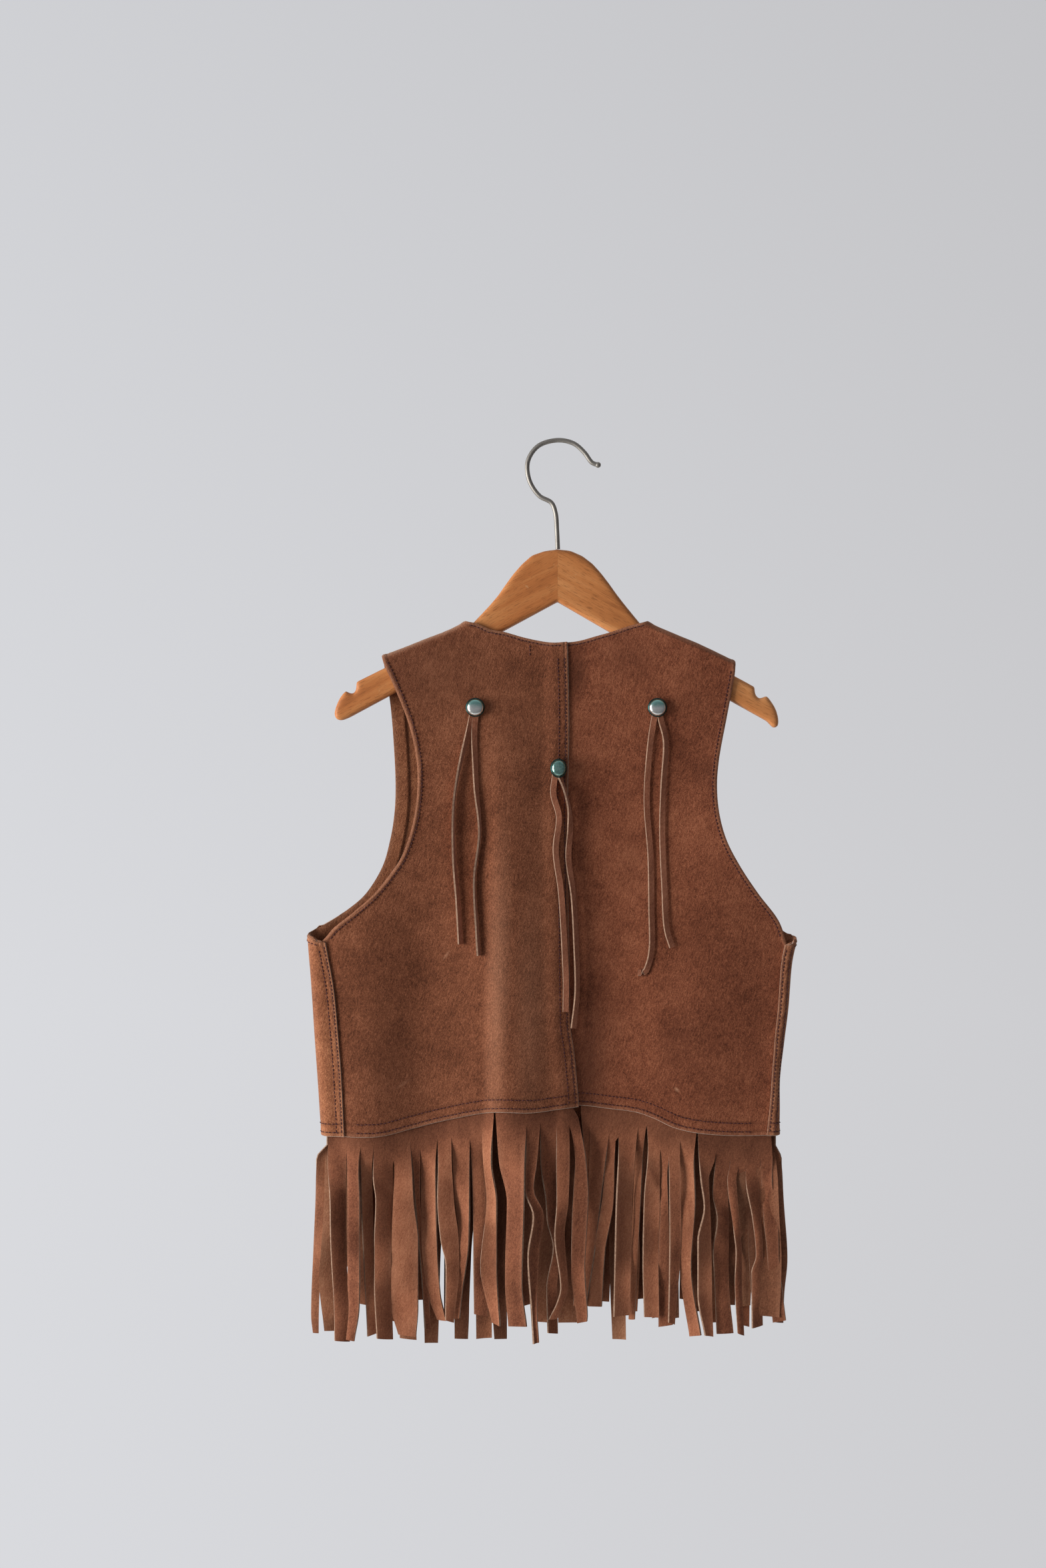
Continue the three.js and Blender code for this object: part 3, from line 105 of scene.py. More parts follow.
class Line:
    """A table of x and z read as smooth curves of each other."""

    def __init__(self, *rows):
        self.points = np.array([row[:2] for row in rows], float)
        self.sides = [row[2] if len(row) > 2 else "front" for row in rows]

    def x_at(self, z):
        return smooth_line(z, self.points[:, 1], self.points[:, 0])

    def z_at(self, x):
        return smooth_line(x, self.points[:, 0], self.points[:, 1])


# Rows are x, z and, round the armholes of the fronts, the part of the wrap that the row lies on
RIDGE = Line((-150, -173.8), (-138.6, -169.4), (-121, -162.8), (-104, -156), (-87, -149.4), (-73, -142),
             (-60, -127), (0, -90), (58, -127), (71, -142), (88, -150.2), (109, -158.9), (130, -168.8),
             (140, -173.8), (150, -178.6))
OUTLINE = {
    "left": Line((-197, -388), (-196.3, -399), (-193.8, -430), (-191.1, -472), (-188.5, -509), (-186, -547)),
    "right": Line((188.6, -392), (184.4, -414), (181.8, -446), (178, -477), (174.9, -509), (174.9, -547)),
}
SEAM = {
    "left": Line((-182.7, -395), (-176.3, -430), (-173, -463), (-170.4, -495), (-167.8, -547)),
    "right": Line((179.3, -397), (175.6, -421), (172, -464), (168.6, -507), (165, -547)),
}
CENTRE_EDGE = Line((7.2, -140), (8.7, -227), (7.7, -281), (8.4, -388), (9.4, -459), (12.1, -479),
                   (14.7, -506), (16.6, -530))
NECKLINE = {
    "left": Line((-73, -142), (-64, -143.8), (-53, -148.5), (-42.5, -150.4), (-27.8, -154.6), (-15.7, -157.3),
                 (-3.7, -159), (7.3, -158.3)),
    "right": Line((71, -142), (57.7, -145.4), (42.8, -150.3), (30.1, -153.9), (15.7, -157.8), (-1.6, -159.4)),
}
BACK_ARMHOLE = {
    "left": Line((-182, -390.4), (-176.2, -383.4), (-160.4, -370.8), (-144.7, -356.7), (-130.6, -339.4),
                 (-122.7, -326.8), (-113.2, -296.9), (-110.5, -259.2), (-116.4, -226.1), (-129, -193.1),
                 (-136.8, -175.8), (-138.6, -169.4)),
    "right": Line((174.6, -378.4), (158.3, -356.7), (144.2, -335.7), (133.2, -314.7), (127.4, -293.8),
                  (125.5, -272), (126.9, -251.8), (133.7, -214.6), (139.5, -183.1), (140, -173.8)),
}
FRONT_ARMHOLE = {
    "left": Line((-182.7, -395, "back"), (-197, -389.4, "fold"), (-179.8, -378.4), (-163.6, -367.6),
                 (-152, -357), (-138.9, -335.7), (-132.8, -314.7), (-129.4, -293.8), (-128.4, -272.8),
                 (-130.4, -230.8), (-133.2, -202), (-138.6, -169.4)),
    "right": Line((179.3, -397, "back"), (188.6, -393.4, "fold"), (173, -382), (159, -364), (145, -342),
                  (134, -319), (127, -294), (125, -272), (127, -240), (133, -205), (140, -173.8)),
}
BACK_HEM = {
    "left": Line((-152.8, -547.4), (-137.4, -546.6), (-116.4, -541.8), (-82.3, -533.4), (-48.8, -527.1),
                 (-18.9, -527.4), (6.6, -524.6), (16.4, -523.7)),
    "right": Line((148.4, -547.3), (126.9, -546.5), (105.4, -543.9), (90.7, -540.2), (76.5, -533.6),
                  (62.1, -528.7), (40.4, -525.8), (18.9, -522.9), (7.3, -522.6)),
}
FRONT_EDGE = {
    "left": Line((-7, -547), (-7, -440), (-8, -335)),
    "right": Line((8, -547), (8, -440), (9, -335)),
}
FRONT_NECK = {
    "left": Line((-8, -335), (-25, -285), (-45, -230), (-62, -180), (-73, -142)),
    "right": Line((9, -335), (26, -285), (45, -230), (61, -180), (71, -142)),
}
# Soft folds: topX, topZ, footX, half widths to the left and to the right, rise
BACK_FOLDS = [(-150, -330, -149, 15, 20, 1.8), (-106, -260, -103, 27, 32, -5.0),
              (-57, -250, -58, 4, 5, -0.9), (-46, -190, -39, 17, 36, 8.6), (24, -190, 30, 22, 60, -3.6),
              (54, -190, 62, 50, 66, -3.4), (112, -330, 110, 14, 20, 0.8), (84, -240, 78, 12, 14, 0.6)]
FRONT_FOLDS = [(-130, -330, -138, 14, 14, 2.2), (-92, -250, -96, 12, 12, -2.6),
               (-52, -240, -50, 14, 14, 2.4), (46, -240, 52, 13, 13, 2), (88, -260, 90, 12, 12, -2.4),
               (126, -330, 134, 13, 13, 2.4)]
# Soft dents of the hide: x, z, half width, half height, lean, rise
BACK_DENTS = [(-96, -214, 16, 30, 0.25, -0.5), (-30, -196, 20, 26, -0.2, 0.45),
              (48, -205, 18, 34, 0.3, -0.45), (108, -222, 14, 38, -0.35, 0.5),
              (-128, -412, 22, 13, 0.7, 0.7), (-150, -452, 14, 30, 0.15, -0.6),
              (-90, -470, 15, 40, -0.12, 0.6), (-64, -330, 9, 46, 0.05, -0.5),
              (34, -330, 14, 60, -0.1, -0.7), (78, -400, 17, 44, 0.18, 0.6), (120, -404, 15, 34, 0.5, -0.6),
              (146, -440, 12, 40, -0.1, 0.6), (112, -490, 20, 22, -0.3, -0.5),
              (-20, -440, 11, 54, 0.06, 0.5), (60, -500, 12, 26, 0.2, 0.5), (-118, -258, 9, 40, 0.1, 0.4),
              (90, -262, 22, 18, -0.6, 0.35), (-146, -500, 16, 22, -0.4, 0.5)]


def ease(value, low, high):
    """0 below the low value, 1 above the high one and a soft step between."""
    share = np.clip((value - low) / (high - low), 0, 1)
    return share * share * (3 - 2 * share)


def dense(points):
    """Close points of a centripetal spline through the rows."""
    def between(first, second, low, high):
        return ((knots[high] - at) * first + (at - knots[low]) * second) / (knots[high] - knots[low])

    points = np.asarray(points, float)
    ends = np.vstack([2 * points[0] - points[1], points, 2 * points[-1] - points[-2]])
    found = []
    for row in range(len(points) - 1):
        a, b, c, d = ends[row:row + 4]
        steps = [max(np.linalg.norm(q - p), 1e-9) ** 0.5 for p, q in ((a, b), (b, c), (c, d))]
        knots = np.cumsum([0, *steps])
        at = np.linspace(knots[1], knots[2], SPLINE_STEPS + 1)[:-1, None]
        low, middle, high = between(a, b, 0, 1), between(b, c, 1, 2), between(c, d, 2, 3)
        left, right = between(low, middle, 0, 2), between(middle, high, 1, 3)
        found.append(between(left, right, 1, 2))
    return np.vstack([*found, points[-1:]])


def along(points, shares):
    """Points at shares of the length of a line of close points."""
    lengths = np.concatenate([[0], np.cumsum(np.linalg.norm(np.diff(points, axis=0), axis=1))])
    at = np.asarray(shares) * lengths[-1]
    return np.stack([np.interp(at, lengths, points[:, axis]) for axis in range(points.shape[1])], axis=-1)


def fold_rise(folds, dents, x, z):
    """How far folds and dents lift the cloth."""
    rise = np.zeros(np.broadcast(x, z).shape)
    for top_x, top_z, foot_x, half_left, half_right, height in folds:
        down = np.clip((top_z - z) / (top_z - FRONT_HEM_Z), 0, 1)
        off = x - top_x - (foot_x - top_x) * down
        off = off / np.where(off < 0, half_left, half_right)
        rise = rise + height * np.exp(-off * off) * ease(top_z - z, 0, FOLD_FADE)
    for dent_x, dent_z, half_width, half_height, lean, height in dents:
        up = (z - dent_z) / half_height
        off = (x - dent_x - lean * (z - dent_z)) / half_width
        rise = rise + height * np.exp(-off * off - up * up)
    return rise


def half_depth(face, x, z):
    """Half depth of the body on its "back" or "front": from the middle plane to the middle of a panel."""
    near_left = 1 - ease(x - OUTLINE["left"].x_at(z), FOLD_GUARD, FLAT_REACH["left"])
    near_right = 1 - ease(OUTLINE["right"].x_at(z) - x, FOLD_GUARD, FLAT_REACH["right"])
    plain = HANG_HALF_DEPTH + HEM_FULLNESS * ease(-z, FULLNESS_START, FULLNESS_END)
    flattened = plain * (1 - near_left * (1 - FLATNESS["left"]) - near_right * (1 - FLATNESS["right"]))
    body = plain + (flattened - plain) * ease(-z, FLAT_START, FLAT_END)
    folds, dents = (BACK_FOLDS, BACK_DENTS) if face == "back" else (FRONT_FOLDS, [])
    return body + fold_rise(folds, dents, x, z) * (1 - near_left) * (1 - near_right)


def hung(x, z, face, lift):
    """Points of the cloth seen at x and z, turned over the ridge of the shoulder."""
    out = -1 if face == "back" else 1
    seen = np.maximum(0, RIDGE.z_at(x) - z)
    angle = np.arccos(np.clip(1 - seen / SHOULDER_DROP, -1, 1))
    turned = RIDGE_GAP + (SHOULDER_REACH + lift) * np.sin(angle)
    y = np.where(seen < SHOULDER_DROP, turned, half_depth(face, x, z) + lift)
    return np.stack(np.broadcast_arrays(x, out * y, z), axis=-1)


def place_back(side):
    """Where the cloth of a back lies in space."""
    def place(x, z, lift):
        if side == "left":
            edge = CENTRE_EDGE.x_at(z)
            lift = LAP_LIFT * ease(x, edge - LAP_START, edge - LAP_END) + lift
        return hung(x, z, "back", lift)

    return place


def side_fold(side, z):
    """Middle x and y, radius and inward way of the fold between a front and the back."""
    inward = 1 if side == "left" else -1
    edge = OUTLINE[side].x_at(z)
    guard = edge + inward * FOLD_GUARD
    front = half_depth("front", guard, z)
    back = -half_depth("back", guard, z) - SIDE_LIFT
    radius = (front - back) / 2
    return edge + inward * radius, (front + back) / 2, radius, inward


def place_front(side):
    """Where the cloth of a front lies in space, from its lengths across the side fold."""
    def place(across, z, lift):
        middle_x, middle_y, radius, inward = side_fold(side, z)
        front = hung(middle_x + inward * across, z, "front", lift)
        angle = np.clip(-across / radius, 0, math.pi)
        turn_x = middle_x - inward * (radius + lift) * np.sin(angle)
        turn_y = middle_y + (radius + lift) * np.cos(angle)
        turn = np.stack(np.broadcast_arrays(turn_x, turn_y, z), axis=-1)
        back_x = middle_x + inward * (-across - math.pi * radius)
        back_y = -half_depth("back", back_x, z) - SIDE_LIFT - lift
        back = np.stack(np.broadcast_arrays(back_x, back_y, z), axis=-1)
        on_front = np.broadcast_to(across >= 0, front.shape[:-1])[..., None]
        on_back = np.broadcast_to(-across > math.pi * radius, front.shape[:-1])[..., None]
        return np.where(on_front, front, np.where(on_back, back, turn))

    return place


def across_front(side, line, sides=None):
    """A line's rows as lengths across a front from the start of its side fold."""
    rows = []
    for (x, z), way in zip(line.points, sides or line.sides):
        middle_x, _, radius, inward = side_fold(side, z)
        inside = inward * (x - middle_x)
        flat = {"fold": -math.pi / 2 * radius, "back": -math.pi * radius - inside, "front": inside}[way]
        rows.append((float(flat), z))
    return np.array(rows)


# Steps in from a cut edge to the first columns and rows of a grid
EDGE_STEPS = np.array([0, 0.35, 0.9, 1.6, 2.3, 3.0, 3.6, 4.2, 5.0, 6.2, 7.8, 9.8])
SPACING = 2.5
WIDTH_LEVELS = (0.05, 0.3, 0.6, 0.9)  # shares of a patch's height where its width is measured


class Patch:
    """A smooth patch of flat points between four lines of close points."""

    def __init__(self, foot, top, near, far):
        self.foot, self.top, self.near, self.far = foot, top, near, far

    def at(self, u, v):
        u, v = np.broadcast_arrays(u, v)
        rails = (1 - u)[..., None] * self.near(v) + u[..., None] * self.far(v)
        ends = (1 - v)[..., None] * self.foot(u) + v[..., None] * self.top(u)
        corners = (1 - v)[..., None] * ((1 - u)[..., None] * self.foot(0.0) + u[..., None] * self.foot(1.0))
        corners = corners + v[..., None] * ((1 - u)[..., None] * self.top(0.0) + u[..., None] * self.top(1.0))
        return rails + ends - corners

    def grid(self):
        """Flat points with close columns and rows by the edges, and a row at the underarm."""
        def reach(a, b):
            return float(np.linalg.norm(self.at(*a) - self.at(*b)))

        height = max(reach((0.5, 0.0), (0.5, 1.0)), reach((1.0, 0.0), (1.0, 1.0)))
        width = max(reach((0.0, v), (1.0, v)) for v in WIDTH_LEVELS)
        edge = EDGE_STEPS[-1]
        inner_rows = int((height * LOW_SHARE - edge) / SPACING)
        upper_rows = int((height * (1 - LOW_SHARE) - edge) / SPACING)
        low = np.linspace(edge / height, LOW_SHARE, inner_rows)[1:]
        high = np.linspace(LOW_SHARE, 1 - edge / height, upper_rows)[1:-1]
        v = np.concatenate([EDGE_STEPS / height, low, high, 1 - EDGE_STEPS[::-1] / height])
        columns = int((width - 2 * edge) / SPACING)
        even = np.linspace(0, 1, columns)[1:-1]
        row_length = np.array([reach((0.0, at), (1.0, at)) for at in v])
        near = EDGE_STEPS[:, None] / row_length
        middle = (edge + even[:, None] * (row_length - 2 * edge)) / row_length
        u = np.concatenate([near, middle, 1 - near[::-1]])
        return self.at(u, np.broadcast_to(v, u.shape))


def rail(points):
    """A line through rows, read by shares of its length."""
    close = dense(points)
    return lambda share: along(close, share)


def two_part(low, high):
    """A border of two lines that meet at the underarm."""
    def at(v):
        v = np.asarray(v)
        below = low(np.clip(v / LOW_SHARE, 0, 1))
        above = high(np.clip((v - LOW_SHARE) / (1 - LOW_SHARE), 0, 1))
        return np.where((v <= LOW_SHARE)[..., None], below, above)

    return at


def back_patch(side):
    """The flat patch of a back, with the lap that lies under the front's side seam."""
    outward = -1 if side == "left" else 1
    seam = SEAM[side].points[::-1] + [outward * SIDE_LAP[side], 0]
    armhole = np.vstack([seam[-1:], BACK_ARMHOLE[side].points])
    neckline = rail(NECKLINE[side].points)
    tip_x, corner_x = armhole[-1, 0], NECKLINE[side].points[0, 0]

    def top(u):
        u = np.asarray(u)
        x = tip_x + (corner_x - tip_x) * np.clip(u / CORNER_SHARE, 0, 1)
        shoulder = np.stack([x, RIDGE.z_at(x)], axis=-1)
        neck = neckline(np.clip((u - CORNER_SHARE) / (1 - CORNER_SHARE), 0, 1))
        return np.where((u <= CORNER_SHARE)[..., None], shoulder, neck)

    foot = rail(np.vstack([seam[:1], BACK_HEM[side].points]))
    low_end, high_end = foot(1.0), top(np.float64(1.0))

    def far(v):
        v = np.asarray(v)
        z = low_end[1] + (high_end[1] - low_end[1]) * v
        shift = low_end[0] + (high_end[0] - low_end[0]) * v
        chord = CENTRE_EDGE.x_at(low_end[1]) * (1 - v) + CENTRE_EDGE.x_at(high_end[1]) * v
        return np.stack([CENTRE_EDGE.x_at(z) + shift - chord, z], axis=-1)

    return Patch(foot, top, two_part(rail(seam), rail(armhole)), far)


def front_patch(side):
    """The flat patch of a front, laid out from its side seam on the back to its opening."""
    seam = across_front(side, SEAM[side], ["back"] * len(SEAM[side].points))[::-1]
    armhole = across_front(side, FRONT_ARMHOLE[side])
    edge = across_front(side, FRONT_EDGE[side])
    neck = across_front(side, FRONT_NECK[side])
    tip_x, corner_x = FRONT_ARMHOLE[side].points[-1, 0], FRONT_NECK[side].points[-1, 0]
    middle_x, _, _, inward = side_fold(side, SHOULDER_Z)

    def top(u):
        x = tip_x + (corner_x - tip_x) * np.asarray(u)
        return np.stack([inward * (x - middle_x), RIDGE.z_at(x)], axis=-1)

    foot_from, foot_to = np.array([seam[0, 0], FRONT_HEM_Z]), np.array([edge[0, 0], FRONT_HEM_Z])

    def foot(u):
        return foot_from + (foot_to - foot_from) * np.asarray(u)[..., None]

    return Patch(foot, top, two_part(rail(seam), rail(armhole)), two_part(rail(edge), rail(neck)))


# --- meshes ---------------------------------------------------------------------------------------------

MERGE = 0.00001  # metres between points that are one
ROUNDING = 0.8  # reach of a border's round edge
EDGE_SHARE = 0.66  # of a wall's thickness, at a cut edge
RIM_RISE, RIM_FALL = (0.2, 1.2), (3.2, 5.0)  # in from the edge, as the next ones
WEAR_FALL = (0.6, 4.2)
GROOVE_REACH, GROOVE_DEPTH, GROOVE_SHADE = 0.62, 0.34, 0.5
TURN_RISE, TURN_STEP = 1.1, (1.3, 0.7)
TURN_SHADE, TURN_SHADE_REACH = 0.3, 9
TURN_LINE, TURN_LINE_REACH = 0.6, 1.3
PUCKER, PUCKER_RISE, PUCKER_FALL = 0.16, (0.5, 2.0), (4.0, 9.0)
PUCKER_TURNS = (0.9, 2.09)  # radians a millimetre along x and z
RAW_SLOPE = 0.6
LINE_PITCH, LINE_PART = 0.7, 60
PANEL_CREASE, STRAND_CREASE, THONG_CREASE, METAL_CREASE = 50, 45, 40, 60  # degrees


def in_scene(name, data):
    made = bpy.data.objects.new(name, data)
    bpy.context.scene.collection.objects.link(made)
    return made


def linked(name, mesh):
    """A piece of the object, on its only body."""
    piece = in_scene(name, mesh)
    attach(piece, "root")
    return piece


def make_object(name, points, faces, materials, face_materials=None, paint=None, crease=None):
    """A piece from points in millimetres. paint is a colour for each point: wear, shade and own tone."""
    mesh = bpy.data.meshes.new(name)
    corners = [tuple(int(corner) for corner in face) for face in faces]
    mesh.from_pydata((np.asarray(points) * MM).tolist(), [], corners)
    if face_materials is not None:
        mesh.polygons.foreach_set("material_index", np.asarray(face_materials, dtype=np.int32))
    if paint is not None:
        layer = mesh.color_attributes.new("paint", "FLOAT_COLOR", "POINT")
        layer.data.foreach_set("color", np.asarray(paint, dtype=np.float32).ravel())
    work = bmesh.new()
    work.from_mesh(mesh)
    bmesh.ops.remove_doubles(work, verts=work.verts, dist=MERGE)
    bmesh.ops.recalc_face_normals(work, faces=work.faces)
    work.to_mesh(mesh)
    work.free()
    smooth(mesh, crease)
    for material in materials:
        mesh.materials.append(material)
    return linked(name, mesh)


def smooth(mesh, crease):
    """Smooth faces, but for edges sharper than the crease in degrees."""
    mesh.polygons.foreach_set("use_smooth", np.ones(len(mesh.polygons), dtype=bool))
    if crease is not None:
        mesh.set_sharp_from_angle(angle=math.radians(crease))


def unit(vectors):
    return vectors / np.maximum(np.linalg.norm(vectors, axis=-1, keepdims=True), 1e-12)


def distances(flat, line):
    """How far each flat point is from a line, worked out by parts of the line."""
    length = np.linalg.norm(np.diff(line, axis=0), axis=1).sum()
    close = along(line, np.linspace(0, 1, int(length / LINE_PITCH) + 2))
    points = flat.reshape(-1, 2)
    best = np.full(len(points), np.inf)
    for part in np.array_split(close, len(close) // LINE_PART + 1):
        off = np.hypot(points[:, None, 0] - part[None, :, 0], points[:, None, 1] - part[None, :, 1])
        best = np.minimum(best, off.min(axis=1))
    return best.reshape(flat.shape[:-1])


def grid_faces(columns, rows, start=0, flip=False):
    i, j = np.meshgrid(np.arange(columns - 1), np.arange(rows - 1), indexing="ij")
    a = start + i * rows + j
    quads = np.stack([a, a + rows, a + rows + 1, a + 1], axis=-1).reshape(-1, 4)
    return quads[:, ::-1] if flip else quads


def wall_faces(columns, rows):
    """Faces of an outer and an inner grid and of the border between them, and their materials."""
    count = columns * rows
    outer, inner = grid_faces(columns, rows), grid_faces(columns, rows, count, True)
    i, j = np.arange(columns), np.arange(rows)
    border = np.concatenate([i[:-1] * rows, (columns - 1) * rows + j[:-1],
                             i[:0:-1] * rows + rows - 1, j[:0:-1]])
    after = np.roll(border, -1)
    rim = np.stack([border, border + count, after + count, after], axis=-1)
    kinds = np.concatenate([np.zeros(len(outer) + len(inner)), np.ones(len(rim))])
    return np.concatenate([outer, inner, rim]).tolist(), kinds


def ring_faces(rings, sides, first=0):
    """Faces between rings of points, and a cap on each end."""
    faces = []
    for ring in range(rings - 1):
        low = first + ring * sides
        high = low + sides
        for corner in range(sides):
            after = (corner + 1) % sides
            faces.append((low + corner, low + after, high + after, high + corner))
    last = first + (rings - 1) * sides
    return [*faces, tuple(range(first, first + sides)), tuple(range(last, last + sides))]


class Edge:
    """A border of a panel: its flat line, stitch rows, standing rim, wear and turned allowance."""

    def __init__(self, line, rows=(), rim=0.0, wear=0.0, trim=(3.0, 3.0), turned=0.0):
        self.line, self.rows, self.rim = line, rows, rim
        self.wear, self.trim, self.turned = wear, trim, turned


def relief(flat, edges):
    """How far a panel's wall reaches out and in from its middle, and its paint."""
    away = {key: distances(flat, edge.line) for key, edge in edges.items()}
    nearest = np.minimum.reduce(list(away.values()))
    round_off = np.sqrt(1 - (1 - np.clip(nearest / ROUNDING, 0, 1)) ** 2)
    outer = WALL / 2 * (EDGE_SHARE + (1 - EDGE_SHARE) * round_off)
    inner = outer.copy()
    wear, shade, inner_shade = (np.zeros(outer.shape) for _ in range(3))
    for key, edge in edges.items():
        off = away[key]
        outer += edge.rim * ease(off, *RIM_RISE) * (1 - ease(off, *RIM_FALL))
        wear = np.maximum(wear, edge.wear * (1 - ease(off, *WEAR_FALL)))
        for row in edge.rows:
            groove = np.exp(-(((off - row) / GROOVE_REACH) ** 2))
            outer -= GROOVE_DEPTH * groove
            shade = np.maximum(shade, GROOVE_SHADE * groove)
        if edge.turned:
            inner += TURN_RISE * (1 - ease(off, edge.turned - TURN_STEP[0], edge.turned + TURN_STEP[1]))
            soft = TURN_SHADE * (1 - ease(off, edge.turned, edge.turned + TURN_SHADE_REACH))
            line = np.exp(-(((off - edge.turned - TURN_LINE) / TURN_LINE_REACH) ** 2))
            inner_shade = np.maximum(inner_shade, np.maximum(soft, line))
    pucker = PUCKER * np.sin(flat[..., 1] * PUCKER_TURNS[1] + flat[..., 0] * PUCKER_TURNS[0])
    outer += pucker * (1 - ease(nearest, *PUCKER_FALL)) * ease(nearest, *PUCKER_RISE)
    paint = np.zeros((2, *outer.shape, 4))
    paint[..., 0] = wear
    paint[0, ..., 1] = shade
    paint[1, ..., 1] = inner_shade
    paint[..., 3] = 1
    return outer, inner, paint


def shell(name, patch, place, edges, materials):
    """Closed wall of a panel, with rounded borders, standing rims and grooves under the stitches."""
    flat = patch.grid()
    middle = place(flat[..., 0], flat[..., 1], 0.0)
    normal = unit(np.cross(np.gradient(middle, axis=0), np.gradient(middle, axis=1)))
    at = (flat.shape[0] // 2, flat.shape[1] // 2)
    out = place(flat[at][0], flat[at][1], 1.0) - middle[at]
    if np.dot(out, normal[at]) < 0:
        normal = -normal
    outer, inner, paint = relief(flat, edges)
    front = middle + normal * outer[..., None]
    back = middle - normal * inner[..., None]
    # The cut face of a raw border slopes, so that it shows from outside
    back[:, 0] += RAW_SLOPE * unit(back[:, 0] - back[:, 1])
    back[-1, 1:-1] += RAW_SLOPE * unit(back[-1, 1:-1] - back[-2, 1:-1])
    points = np.concatenate([front.reshape(-1, 3), back.reshape(-1, 3)])
    faces, kinds = wall_faces(*outer.shape)
    piece = make_object(name, points, faces, materials, kinds, paint.reshape(-1, 4), PANEL_CREASE)
    piece["flat_area"] = float(patch_area(flat))
    return piece


def patch_area(flat):
    """Area in square metres."""
    a, b, c, d = flat[:-1, :-1], flat[1:, :-1], flat[1:, 1:], flat[:-1, 1:]
    first, second = c - a, d - b
    return np.abs(first[..., 0] * second[..., 1] - first[..., 1] * second[..., 0]).sum() / 2e6


LINE_STEPS = 500


def inner_line(line, distance, centre):
    """The line moved in from a border, towards the middle of its panel."""
    close = along(line, np.linspace(0, 1, LINE_STEPS))
    way = unit(np.gradient(close, axis=0))
    left = np.stack([-way[:, 1], way[:, 0]], axis=-1)
    middle = LINE_STEPS // 2
    towards = np.dot(centre - close[middle], left[middle])
    return close + math.copysign(distance, towards) * left


# A stitch dips into the hide at both ends: shares of its length, with the lift and radius at each
STITCH_SHARES = np.array([0, 0.14, 0.5, 0.86, 1])
STITCH_LIFTS = np.array([-0.3, 0.1, 0.3, 0.1, -0.3])
STITCH_RADII = np.array([0.14, 0.3, 0.34, 0.3, 0.14])
STITCH_SIDES = 6
STITCH_PITCH, STITCH_LENGTH = 3.0, 2.3


class Thread:
    """Stitches gathered into one piece."""

    def __init__(self):
        self.points, self.faces = [], []

    def run(self, line, place, lift, trim):
        """Stitches along a flat line, which stop short of its ends by the trim."""
        total = np.linalg.norm(np.diff(line, axis=0), axis=1).sum()
        count = int((total - sum(trim)) / STITCH_PITCH)
        starts = trim[0] + np.arange(count) * STITCH_PITCH + draw.uniform(-0.25, 0.25, count)
        flat = along(line, (starts[:, None] + STITCH_LENGTH * STITCH_SHARES) / total)
        flat = flat + draw.uniform(-0.12, 0.12, (count, 1, 2))
        centre = place(flat[..., 0], flat[..., 1], lift)
        up = unit(place(flat[:, 2, 0], flat[:, 2, 1], lift + 1.0) - centre[:, 2])[:, None]
        way = unit(centre[:, -1] - centre[:, 0])[:, None]
        side = unit(np.cross(way, up))
        centre = centre + up * STITCH_LIFTS[None, :, None]
        angles = (np.arange(STITCH_SIDES) * 2 * math.pi / STITCH_SIDES)[:, None]
        ring = side[:, :, None] * np.cos(angles) + up[:, :, None] * np.sin(angles)
        stitches = centre[:, :, None] + ring * STITCH_RADII[:, None, None]
        size = len(STITCH_SHARES) * STITCH_SIDES
        first = size * sum(len(part) for part in self.points)
        self.points.append(stitches.reshape(count, size, 3))
        for stitch in range(count):
            self.faces += ring_faces(len(STITCH_SHARES), STITCH_SIDES, first + stitch * size)

    def piece(self, name, material):
        return make_object(name, np.concatenate(self.points).reshape(-1, 3), self.faces, [material])


# --- fringe ---------------------------------------------------------------------------------------------

STRAND_COLUMNS, STRAND_ROWS, TUCK_ROWS = 6, 40, 5
ACROSS = np.linspace(0, 1, STRAND_COLUMNS)
INSET = WALL / 2 + BAND_GAP + STRIP_WALL / 2
FREE_REACH = 26  # down from its slits, where a strand comes free of its band
SWAY_PITCH, FINE_PITCH, FINE_SHARE = (14, 24), (6.5, 9), 0.45
TWIST_LIMIT, TWIST_BASE, TWIST_WAVE = 0.36, 0.04, 0.2
SWAY, CURL, TIP_SLANT = (0.5, 1.2), 0.9, 1.2
LIGHT_BEVEL, DARK_BEVEL = 0.5, 0.1
SIDE_WEAR, HEM_SHADE, HEM_SHADE_FALL = 0.35, 0.7, (2, 26)
BACK_SHADE, BACK_SHADE_FALL, BACK_SHADE_SIDE = 0.85, (112, 146), (150, 168)
SHADE_SHIFT = 18  # how much further out that shade reaches on the left
CUT_SPARE = 8


def strand(layer, light, *rows):
    """One strand: steps in depth off its band, side of its pale edge, and rows of z, left and right."""
    return {"layer": layer, "light": light, "rows": np.array(rows, float)}


def tucked_part(near, far, shifts, hem_at):
    """Flat x and z of a strand behind the hem, and the z of its slits."""
    root_x, root_z = (near[axis] + (far[axis] - near[axis]) * ACROSS for axis in (0, 1))
    moved = shifts[0] + (shifts[1] - shifts[0]) * ACROSS
    down = np.linspace(0, 1, TUCK_ROWS + 1)[:, None]
    top_z = hem_at(root_x + moved) + BAND_TUCK
    return root_x + moved * (1 - down), top_z + (root_z - top_z) * down, root_z


